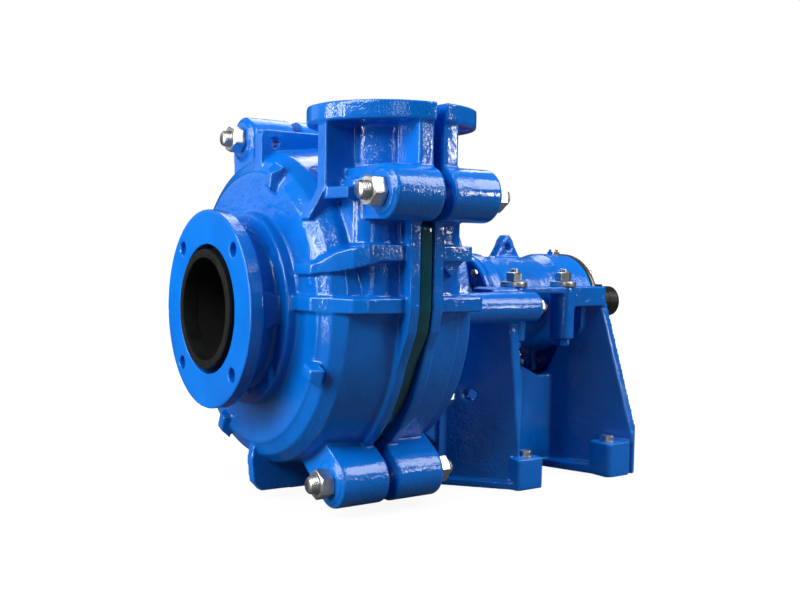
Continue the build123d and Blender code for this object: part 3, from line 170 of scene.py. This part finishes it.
# Windows seen in the gloss: name, azimuth, rise, width, height, power, whether they light matt paint
WINDOWS = (
    ("window_left", -26, 0.42, 0.26, 1.5, 22, True),
    ("window_front", -8, 0.42, 0.30, 1.5, 24, True),
    ("card_left", -60, 0.90, 1.20, 1.4, 2.5, False),
    ("card_camera", 62, 0.50, 0.40, 1.2, 6, False),
    ("window_right", 125, 0.45, 0.36, 0.44, 12, True),
)
WINDOW_DISTANCE = 2.8
LIT_POINT = Vector((0.0, -0.1, 0.32))
SKY = (0.80, 0.90, 1.0)
SKY_STRENGTH = 0.024

# Floor: its grey, and its glow to the camera from a near to a far distance, in metres
FLOOR_GREY = (0.09, 0.09, 0.09)
FLOOR_SIZE = 40
FLOOR_DROP = 0.0005
GLOW_NEAR = 0.92
GLOW_FAR = 1.05
GLOW_START = 0.45
GLOW_END = 1.2


def new_material(name):
    made = bpy.data.materials.new(name)
    made.use_nodes = True
    tree = made.node_tree
    shader = tree.nodes["Principled BSDF"]
    return made, tree, shader


def add(tree, kind, **settings):
    node = tree.nodes.new(kind)
    for key, value in settings.items():
        setattr(node, key, value)
    return node


def place(tree):
    """The object's own coordinates in metres, so a pattern keeps its real size on every piece."""
    return add(tree, "ShaderNodeTexCoord").outputs["Object"]


def noise(tree, where, size, detail=3.0, rough=0.5):
    """Soft noise whose lumps are about size metres across."""
    node = add(tree, "ShaderNodeTexNoise")
    node.inputs["Scale"].default_value = 1 / size
    node.inputs["Detail"].default_value = detail
    node.inputs["Roughness"].default_value = rough
    tree.links.new(where, node.inputs["Vector"])
    return node.outputs["Fac"]


def ramp(tree, value, stops):
    """Colours by value; each stop is a value and its colour."""
    node = add(tree, "ShaderNodeValToRGB")
    band = node.color_ramp
    while len(band.elements) < len(stops):
        band.elements.new(0.5)
    for element, (at, colour) in zip(band.elements, stops):
        element.position = at
        element.color = (*colour, 1)
    tree.links.new(value, node.inputs["Fac"])
    return node.outputs["Color"]


def spread(tree, value, low, high, start=0.0, stop=1.0):
    """Maps value from start..stop to low..high and holds it there."""
    node = add(tree, "ShaderNodeMapRange")
    node.inputs["From Min"].default_value = start
    node.inputs["From Max"].default_value = stop
    node.inputs["To Min"].default_value = low
    node.inputs["To Max"].default_value = high
    tree.links.new(value, node.inputs["Value"])
    return node.outputs["Result"]


def beyond(tree, where, axis, limit):
    """1 where the coordinate on one axis is above limit, 0 below it."""
    split = add(tree, "ShaderNodeSeparateXYZ")
    tree.links.new(where, split.inputs[0])
    return spread(tree, split.outputs[axis], 0.0, 1.0, limit - MASK_BLEND, limit + MASK_BLEND)


def product(tree, first, second):
    """first times second; each is a number or a socket."""
    node = add(tree, "ShaderNodeMath", operation="MULTIPLY")
    for socket, value in zip(node.inputs, (first, second)):
        if isinstance(value, (int, float)):
            socket.default_value = value
        else:
            tree.links.new(value, socket)
    return node.outputs[0]


def blend_colours(tree, mask, low, high):
    """low where mask is 0 and high where it is 1; each is a colour or a socket."""
    node = add(tree, "ShaderNodeMix", data_type="RGBA")
    tree.links.new(mask, node.inputs["Factor"])
    for socket, value in ((node.inputs[6], low), (node.inputs[7], high)):
        if isinstance(value, tuple):
            socket.default_value = (*value, 1)
        else:
            tree.links.new(value, socket)
    return node.outputs[2]


def bumps(tree, shader, layers):
    """Stacks layers, each a height value and a depth in metres, into the shader's normal."""
    last = None
    for height, depth in layers:
        node = add(tree, "ShaderNodeBump")
        node.inputs["Distance"].default_value = depth
        node.inputs["Strength"].default_value = 1.0
        tree.links.new(height, node.inputs["Height"])
        if last is not None:
            tree.links.new(last, node.inputs["Normal"])
        last = node.outputs["Normal"]
    tree.links.new(last, shader.inputs["Normal"])
    if shader.inputs["Coat Weight"].default_value > 0:
        tree.links.new(last, shader.inputs["Coat Normal"])


def near_shaft(tree, where, reach):
    """1 within reach of the shaft's axis, 0 outside it."""
    flat = add(tree, "ShaderNodeVectorMath", operation="MULTIPLY_ADD")
    tree.links.new(where, flat.inputs[0])
    flat.inputs[1].default_value = (1, 0, 1)
    flat.inputs[2].default_value = (0, 0, -SHAFT_Z)
    away = add(tree, "ShaderNodeVectorMath", operation="LENGTH")
    tree.links.new(flat.outputs[0], away.inputs[0])
    return spread(tree, away.outputs["Value"], 1.0, 0.0, reach, reach + MASK_BLEND)


def enamel(name, colours, lump=1.0, smooth_face=None, bare_cover=None):
    """Gloss enamel over a sand casting, in three colours that drift into each other.

    lump scales the depth of its lumps. In front of the station smooth_face the surface is machined
    and satin. bare_cover is the station and radius round the shaft of a cover left in brown primer.
    """
    made, tree, shader = new_material(name)
    where = place(tree)
    broad = noise(tree, where, 0.09, 2.0)
    swell = noise(tree, where, SWELL_SIZE, 2.0)
    peel = noise(tree, where, PEEL_SIZE, 2.0, 0.45)
    patch = noise(tree, where, 0.05, 3.0, 0.6)
    colour = ramp(tree, broad, [(0.3, colours[0]), (0.52, colours[1]), (0.75, colours[2])])
    depth = spread(tree, patch, 0.15, 1.0, 0.38, 0.62)
    shader.inputs["Coat Weight"].default_value = 1.0
    if smooth_face is None:
        shine = spread(tree, patch, 0.04, 0.09, 0.35, 0.65)
    else:
        cast = beyond(tree, where, 1, smooth_face)
        depth = product(tree, depth, cast)
        swell = product(tree, swell, cast)
        shine = spread(tree, cast, 0.16, 0.06)
        tree.links.new(spread(tree, cast, 0.35, 1.0), shader.inputs["Coat Weight"])
    if bare_cover is not None:
        station, reach = bare_cover
        inside = near_shaft(tree, where, reach)
        primer = product(tree, inside, beyond(tree, where, 1, station))
        colour = blend_colours(tree, primer, colour, BROWN)
    tree.links.new(colour, shader.inputs["Base Color"])
    tree.links.new(shine, shader.inputs["Coat Roughness"])
    shader.inputs["Roughness"].default_value = 0.4
    shader.inputs["Specular IOR Level"].default_value = ENAMEL_SPECULAR
    peel_height = product(tree, peel, depth)
    bumps(tree, shader, [(swell, SWELL_DEPTH * lump), (peel_height, PEEL_DEPTH * lump)])
    return made


def machined(name, colour, roughness=(0.26, 0.40), black_beyond=None):
    """Bare turned or plated metal with fine marks.

    Beyond the station black_beyond, where one is given, it is black-oiled.
    """
    made, tree, shader = new_material(name)
    where = place(tree)
    marks = noise(tree, where, 0.0006, 2.0)
    cloud = noise(tree, where, 0.02, 4.0, 0.6)
    dark = tuple(c * 0.72 for c in colour)
    tone = ramp(tree, cloud, [(0.3, dark), (0.65, colour)])
    if black_beyond is None:
        shader.inputs["Metallic"].default_value = 1.0
    else:
        oiled = beyond(tree, where, 1, black_beyond)
        tone = blend_colours(tree, oiled, tone, BLACK)
        tree.links.new(spread(tree, oiled, 1.0, 0.2), shader.inputs["Metallic"])
    tree.links.new(tone, shader.inputs["Base Color"])
    tree.links.new(spread(tree, cloud, *roughness, 0.3, 0.7), shader.inputs["Roughness"])
    bumps(tree, shader, [(marks, 0.00003), (cloud, 0.00008)])
    return made


def half_painted(name, axis, limit, bare_colour, metallic=1.0):
    """Blue paint below limit on one axis and the bare piece above it."""
    made, tree, shader = new_material(name)
    where = place(tree)
    broad = noise(tree, where, 0.03, 3.0)
    peel = noise(tree, where, 0.0030, 2.0, 0.45)
    bare = beyond(tree, where, axis, limit)
    paint = ramp(tree, broad, [(0.3, BLUE_DEEP), (0.7, BLUE)])
    tree.links.new(blend_colours(tree, bare, paint, bare_colour), shader.inputs["Base Color"])
    tree.links.new(product(tree, bare, metallic), shader.inputs["Metallic"])
    tree.links.new(spread(tree, broad, 0.20, 0.32, 0.3, 0.7), shader.inputs["Roughness"])
    shader.inputs["Specular IOR Level"].default_value = BOLT_PAINT_SPECULAR
    shader.inputs["Coat Weight"].default_value = 0.6
    shader.inputs["Coat Roughness"].default_value = 0.08
    bumps(tree, shader, [(product(tree, peel, spread(tree, bare, 1.0, 0.1)), 0.0003)])
    return made


def rough_metal(name, colour):
    """As-cast hard alloy."""
    made, tree, shader = new_material(name)
    where = place(tree)
    grain = noise(tree, where, 0.004, 5.0, 0.6)
    cloud = noise(tree, where, 0.05, 3.0)
    dark = tuple(c * 0.6 for c in colour)
    tree.links.new(ramp(tree, cloud, [(0.3, dark), (0.7, colour)]), shader.inputs["Base Color"])
    shader.inputs["Metallic"].default_value = 0.7
    tree.links.new(spread(tree, grain, 0.45, 0.65, 0.3, 0.7), shader.inputs["Roughness"])
    bumps(tree, shader, [(grain, 0.0006)])
    return made


def rubber(name, colour):
    """Matt rubber with paler dust."""
    made, tree, shader = new_material(name)
    where = place(tree)
    grain = noise(tree, where, 0.0012, 3.0)
    dust = noise(tree, where, 0.03, 5.0, 0.65)
    pale = tuple(c * 1.9 + 0.004 for c in colour)
    tree.links.new(ramp(tree, dust, [(0.35, colour), (0.75, pale)]), shader.inputs["Base Color"])
    tree.links.new(spread(tree, dust, 0.42, 0.62, 0.3, 0.7), shader.inputs["Roughness"])
    shader.inputs["Specular IOR Level"].default_value = RUBBER_SPECULAR
    bumps(tree, shader, [(grain, 0.00012)])
    return made


def fibre(name, colour):
    """Braided packing."""
    made, tree, shader = new_material(name)
    weave = noise(tree, place(tree), 0.0016, 4.0, 0.7)
    dark = tuple(c * 0.55 for c in colour)
    tree.links.new(ramp(tree, weave, [(0.35, dark), (0.6, colour)]), shader.inputs["Base Color"])
    shader.inputs["Roughness"].default_value = 0.8
    bumps(tree, shader, [(weave, 0.0004)])
    return made


FRONT_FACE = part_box("cover_plate")[0].y
SHAFT_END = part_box("shaft")[1].y
RAIL_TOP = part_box("clamp_washers")[0].z
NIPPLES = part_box("grease_nipples")
BETWEEN_NIPPLES = (NIPPLES[0].y + NIPPLES[1].y) / 2
REAR_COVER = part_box("rear_end_cover")
COVER_REACH = (REAR_COVER[1].x - REAR_COVER[0].x) / 2 + COVER_MARGIN
SHAFT_Z = (REAR_COVER[0].z + REAR_COVER[1].z) / 2
BLUES = (BLUE_DEEP, BLUE, BLUE_PALE)
TEALS = (TEAL_DEEP, TEAL, TEAL)
FACE_END = FRONT_FACE + MACHINED_SKIN
BARE_COVER = (REAR_COVER[1].y - COVER_RIM, COVER_REACH)
BLACK_START = SHAFT_END - BLACK_SHAFT_LENGTH

FINISHES = {
    "blue_casting": enamel("blue_casting", BLUES, smooth_face=FACE_END, bare_cover=BARE_COVER),
    "blue_bolts": half_painted("blue_bolts", 2, RAIL_TOP + PAINT_ABOVE_RAIL, STEEL),
    "liner_alloy": enamel("liner_alloy", TEALS, 0.5),
    "wear_alloy": rough_metal("wear_alloy", WEAR_ALLOY),
    "black_rubber": rubber("black_rubber", RUBBER),
    "zinc_steel": machined("zinc_steel", STEEL),
    "shaft_steel": machined("shaft_steel", SHAFT_STEEL, (0.3, 0.42), BLACK_START),
    "bearing_steel": machined("bearing_steel", BEARING_STEEL, (0.1, 0.2)),
    "gasket_brown": half_painted("gasket_brown", 1, 0.0, BROWN, 0.0),
    "packing_fibre": fibre("packing_fibre", PACKING),
    "brass": half_painted("brass", 1, BETWEEN_NIPPLES, BRASS),
}


def body_of_node(node):
    for body, members in RECORD["behaviour"]["bodies"].items():
        if node in members:
            return body
    raise KeyError(node)


def slot_of_node(node):
    for row in RECORD["subparts"]:
        if row["node"] == node:
            return row["material_slot"]
    raise KeyError(node)


def new_piece(name, mesh):
    made = bpy.data.objects.new(name, mesh)
    bpy.context.scene.collection.objects.link(made)
    return made


def cleaned(node):
    """A CAD node's mesh as a bmesh with its corners joined and flat faces whole."""
    work = bmesh.new()
    work.from_mesh(frame["nodes"][node].data)
    flat = math.radians(FLAT_ANGLE)
    bmesh.ops.remove_doubles(work, verts=work.verts, dist=JOIN_DISTANCE)
    bmesh.ops.dissolve_limit(work, angle_limit=flat, verts=work.verts, edges=work.edges)
    return work


def as_mesh(work, name):
    """A new mesh from a bmesh, which is freed."""
    mesh = bpy.data.meshes.new(name)
    work.to_mesh(mesh)
    work.free()
    return mesh


def stand_in(piece, node):
    """piece takes the place, body and finish of a CAD node."""
    slot = slot_of_node(node)
    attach(piece, body_of_node(node))
    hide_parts(node)
    piece.data.materials.append(FINISHES[slot])


def applied(piece):
    """Works the modifiers of piece into its mesh."""
    graph = bpy.context.evaluated_depsgraph_get()
    mesh = bpy.data.meshes.new_from_object(piece.evaluated_get(graph))
    piece.modifiers.clear()
    piece.data = mesh


def shade(mesh, angle):
    mesh.shade_smooth()
    mesh.set_sharp_from_angle(angle=math.radians(angle))


def casting(node, crisp=None):
    """A CAD node with the soft edges and filled corners of a sand casting.

    crisp tells of a point whether it is machined.
    """
    piece = new_piece(node + "_cast", as_mesh(cleaned(node), node + "_mesh"))
    skin = piece.modifiers.new("skin", "REMESH")
    skin.mode = "VOXEL"
    skin.voxel_size = SKIN_VOXEL
    applied(piece)
    group = piece.vertex_groups.new(name="soft")
    hard = []
    soft = []
    for vertex in piece.data.vertices:
        listed = hard if crisp and crisp(vertex.co) else soft
        listed.append(vertex.index)
    group.add(soft, 1.0, "REPLACE")
    group.add(hard, CRISP, "REPLACE")
    soften = piece.modifiers.new("soften", "SMOOTH")
    soften.factor = 0.5
    soften.iterations = SOFTEN_ROUNDS
    soften.vertex_group = "soft"
    applied(piece)
    piece.data.shade_smooth()
    stand_in(piece, node)


def rounded(node, width, segments):
    """A CAD node with its sharp edges rounded."""
    piece = new_piece(node + "_piece", as_mesh(cleaned(node), node + "_mesh"))
    bevel = piece.modifiers.new("edges", "BEVEL")
    bevel.width = width
    bevel.segments = segments
    bevel.limit_method = "ANGLE"
    bevel.angle_limit = math.radians(35)
    bevel.use_clamp_overlap = True
    applied(piece)
    shade(piece.data, 40)
    stand_in(piece, node)


# Turned pieces: points are given by a place along the axis, a radius and a turn

def frame_of(axis):
    """Square directions for an axis, the last one along it."""
    if axis == "Y":
        return Vector((0, 0, 1)), Vector((1, 0, 0)), Vector((0, 1, 0))
    return Vector((1, 0, 0)), Vector((0, 1, 0)), Vector((0, 0, 1))


def solids_of(work):
    """The separate solids of a bmesh, each as a list of its vertices."""
    seen = set()
    groups = []
    for start in work.verts:
        if start in seen:
            continue
        seen.add(start)
        stack = [start]
        group = []
        while stack:
            vertex = stack.pop()
            group.append(vertex)
            for edge in vertex.link_edges:
                other = edge.other_vert(vertex)
                if other not in seen:
                    seen.add(other)
                    stack.append(other)
        groups.append(group)
    return groups


def middle_of(group, directions):
    """Where the axis of a solid stands, its lowest and highest places on it."""
    u, v, a = directions
    across = [vertex.co.dot(u) for vertex in group]
    up = [vertex.co.dot(v) for vertex in group]
    along = [vertex.co.dot(a) for vertex in group]
    centre = u * (min(across) + max(across)) / 2 + v * (min(up) + max(up)) / 2
    return centre, min(along), max(along)


def lathe(work, centre, directions, rings, columns, close):
    """Adds a skin over rings to a bmesh.

    Each ring is a function that gives the place and the radius for a turn. close joins the last
    ring to the first; otherwise both ends are capped.
    """
    u, v, a = directions
    made = []
    for ring in rings:
        row = []
        for column in range(columns):
            turn = 2 * math.pi * column / columns
            at, radius = ring(turn)
            point = centre + a * at + (u * math.cos(turn) + v * math.sin(turn)) * radius
            row.append(work.verts.new(point))
        made.append(row)
    pairs = list(zip(made, made[1:]))
    if close:
        pairs.append((made[-1], made[0]))
    for low, high in pairs:
        for column in range(columns):
            other = (column + 1) % columns
            work.faces.new((low[column], low[other], high[other], high[column]))
    if not close:
        work.faces.new(list(reversed(made[0])))
        work.faces.new(made[-1])


def thread_ring(at, radius, start, tip, pitch):
    """The ring of a thread that runs from start to tip, at one place on it."""
    depth = THREAD_DEPTH * pitch
    run = abs(at - start)
    left = abs(tip - at)

    def ring(turn):
        phase = (at / pitch - turn / (2 * math.pi)) % 1.0
        crest = min(1.0, abs(2 * phase - 1) * CREST_WIDTH)
        cut = depth * (1 - crest) * min(1.0, run / pitch)
        return at, min(radius - cut, radius - THREAD_TIP * pitch + left)
    return ring


def threaded_end(work, centre, directions, radius, start, tip, pitch):
    rows = max(2, int(abs(tip - start) / pitch * TURN_ROWS))
    places = [start + (tip - start) * row / rows for row in range(rows + 1)]
    rings = [thread_ring(at, radius, start, tip, pitch) for at in places]
    if tip < start:
        rings.reverse()
    lathe(work, centre, directions, rings, TURN_COLUMNS, False)


def shank_of(node, number, along, ends):
    """The mesh of one solid of a CAD node, cut off where its threaded ends start."""
    shank = cleaned(node)
    mine = set(solids_of(shank)[number])
    others = [vertex for vertex in shank.verts if vertex not in mine]
    bmesh.ops.delete(shank, geom=others, context="VERTS")
    for start, tip, way in ends:
        everything = shank.verts[:] + shank.edges[:] + shank.faces[:]
        bmesh.ops.bisect_plane(shank, geom=everything, plane_co=along * start,
                               plane_no=along * way, clear_outer=True)
    return as_mesh(shank, "shank")


def turned_piece(work, node, angle):
    """The piece made of a bmesh that stands in for a CAD node."""
    mesh = as_mesh(work, node + "_mesh")
    piece = new_piece(node + "_cut", mesh)
    shade(mesh, angle)
    stand_in(piece, node)


def bolts(node, axis, radius, pitch, low_length, high_length):
    """A CAD node of bolts with cut threads on the low end, the high end or both."""
    directions = frame_of(axis)
    work = cleaned(node)
    middles = [middle_of(group, directions) for group in solids_of(work)]
    work.free()
    made = bmesh.new()
    for number, (centre, low, high) in enumerate(middles):
        ends = []
        if low_length:
            ends.append((low + low_length, low, -1))
        if high_length:
            ends.append((high - high_length, high, 1))
        shank = shank_of(node, number, directions[2], ends)
        made.from_mesh(shank)
        bpy.data.meshes.remove(shank)
        for start, tip, way in ends:
            threaded_end(made, centre, directions, radius, start, tip, pitch)
    turned_piece(made, node, 38)


def nuts(node, axis):
    """A CAD node of hexagon nuts with countersunk threads and chamfered corners."""
    directions = frame_of(axis)
    u, v, a = directions
    slope = math.tan(math.radians(NUT_CHAMFER))
    work = cleaned(node)
    made = bmesh.new()
    for group in solids_of(work):
        centre, low, high = middle_of(group, directions)
        reach = [((vertex.co - centre).dot(u), (vertex.co - centre).dot(v)) for vertex in group]
        radii = [math.hypot(*pair) for pair in reach]
        corner = max(radii)
        bore = min(radii)
        first = reach[radii.index(corner)]
        start = math.atan2(first[1], first[0])
        flat = corner * math.cos(math.pi / 6)
        face = flat * NUT_FACE
        sink = NUT_SINK * (flat - bore)

        def edge(turn):
            part = (turn - start) % (math.pi / 3)
            return flat / math.cos(part - math.pi / 6)

        def drop(turn):
            return (edge(turn) - face) * slope

        rings = [
            lambda turn: (low + sink, bore),
            lambda turn: (low, bore + sink),
            lambda turn: (low, face),
            lambda turn: (low + drop(turn), edge(turn)),
            lambda turn: (high - drop(turn), edge(turn)),
            lambda turn: (high, face),
            lambda turn: (high, bore + sink),
            lambda turn: (high - sink, bore),
        ]
        lathe(made, centre, directions, rings, NUT_COLUMNS, True)
    work.free()
    bmesh.ops.recalc_face_normals(made, faces=made.faces)
    turned_piece(made, node, 25)


def dress_cad_nodes():
    for row in RECORD["subparts"]:
        mesh = frame["nodes"][row["node"]].data
        mesh.materials.clear()
        mesh.materials.append(FINISHES[row["material_slot"]])


def dress_castings():
    flange_back = FRONT_FACE + FLANGE_DEPTH
    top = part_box("cover_plate")[1].z
    top_face = top - TOP_FACE_DEPTH
    casting("cover_plate", lambda point: point.y < flange_back or point.z > top_face)
    casting("frame_plate", lambda point: point.z > top_face)
    casting("pedestal")
    casting("bearing_housing")
    casting("volute_liner")


def dress_fasteners():
    for node, axis in NUTS:
        nuts(node, axis)
    for node, axis, radius, pitch, low_length, high_length in THREADS:
        bolts(node, axis, radius, pitch, low_length, high_length)


def dress_small_pieces():
    for node, width, segments in ROUNDED:
        rounded(node, width, segments)


def floor():
    """A floor that is white to the camera far out and keeps the shadow close to the object."""
    low = CAD_BOX[0].z
    made, tree, shader = new_material("floor_paint")
    shader.inputs["Base Color"].default_value = (*FLOOR_GREY, 1)
    shader.inputs["Roughness"].default_value = 0.8
    shader.inputs["Specular IOR Level"].default_value = 0.0
    path = add(tree, "ShaderNodeLightPath")
    away = add(tree, "ShaderNodeVectorMath", operation="LENGTH")
    tree.links.new(place(tree), away.inputs[0])
    level = spread(tree, away.outputs["Value"], GLOW_NEAR, GLOW_FAR, GLOW_START, GLOW_END)
    glow = product(tree, path.outputs["Is Camera Ray"], level)
    shader.inputs["Emission Color"].default_value = (*WHITE, 1)
    tree.links.new(glow, shader.inputs["Emission Strength"])
    bpy.ops.mesh.primitive_plane_add(size=FLOOR_SIZE, location=(0, 0, low - FLOOR_DROP))
    plane = bpy.context.object
    plane.name = "floor"
    plane.data.materials.append(made)


def lamp(name, azimuth, rise, distance, width, height, power):
    """A rectangular lamp at an azimuth round the object, aimed at its middle."""
    turn = math.radians(azimuth)
    outward = Vector((math.sin(turn), -math.cos(turn), 0))
    spot = LIT_POINT + outward * distance + Vector((0, 0, rise))
    data = bpy.data.lights.new(name, "AREA")
    data.shape = "RECTANGLE"
    data.size = width
    data.size_y = height
    data.energy = power
    made = bpy.data.objects.new(name, data)
    made.location = spot
    made.rotation_euler = (LIT_POINT - spot).to_track_quat("-Z", "Y").to_euler()
    bpy.context.scene.collection.objects.link(made)
    return made


def sky():
    """A world that is white to the camera and a dim blue to everything else."""
    world = bpy.data.worlds.new("studio")
    bpy.context.scene.world = world
    world.use_nodes = True
    tree = world.node_tree
    base = tree.nodes["Background"]
    base.inputs["Color"].default_value = (*SKY, 1)
    base.inputs["Strength"].default_value = SKY_STRENGTH
    white = add(tree, "ShaderNodeBackground")
    white.inputs["Color"].default_value = (*WHITE, 1)
    white.inputs["Strength"].default_value = 1.0
    mix = add(tree, "ShaderNodeMixShader")
    path = add(tree, "ShaderNodeLightPath")
    tree.links.new(path.outputs["Is Camera Ray"], mix.inputs["Fac"])
    tree.links.new(base.outputs[0], mix.inputs[1])
    tree.links.new(white.outputs[0], mix.inputs[2])
    tree.links.new(mix.outputs[0], tree.nodes["World Output"].inputs["Surface"])


def studio():
    for name, azimuth, rise, distance, width, height, power, in_gloss in LAMPS:
        made = lamp(name, azimuth, rise, distance, width, height, power)
        made.visible_glossy = in_gloss
    for name, azimuth, rise, width, height, power, lights_matt in WINDOWS:
        made = lamp(name, azimuth, rise, WINDOW_DISTANCE, width, height, power)
        made.visible_diffuse = lights_matt
    sky()


def camera():
    data = bpy.data.cameras.new("camera")
    data.lens = CAMERA_LENS
    data.sensor_width = SENSOR_WIDTH
    data.clip_start = CLIP_START
    data.clip_end = CLIP_END
    made = bpy.data.objects.new("camera", data)
    bpy.context.scene.collection.objects.link(made)
    turn = math.radians(CAMERA_AZIMUTH)
    pitch = math.radians(CAMERA_PITCH)
    roll = math.radians(CAMERA_ROLL)
    level = math.cos(pitch)
    back = Vector((math.sin(turn) * level, -math.cos(turn) * level, math.sin(pitch)))
    right = (-back).cross(Vector((0, 0, 1))).normalized()
    up = right.cross(-back)
    across = math.cos(roll) * right + math.sin(roll) * up
    upward = -math.sin(roll) * right + math.cos(roll) * up
    turned = Matrix((across, upward, back)).transposed().to_4x4()
    turned.translation = CAMERA_PLACE
    made.matrix_world = turned
    bpy.context.scene.camera = made


dress_cad_nodes()
dress_castings()
dress_fasteners()
dress_small_pieces()
floor()
studio()
camera()
bpy.context.scene.view_settings.view_transform = "Standard"
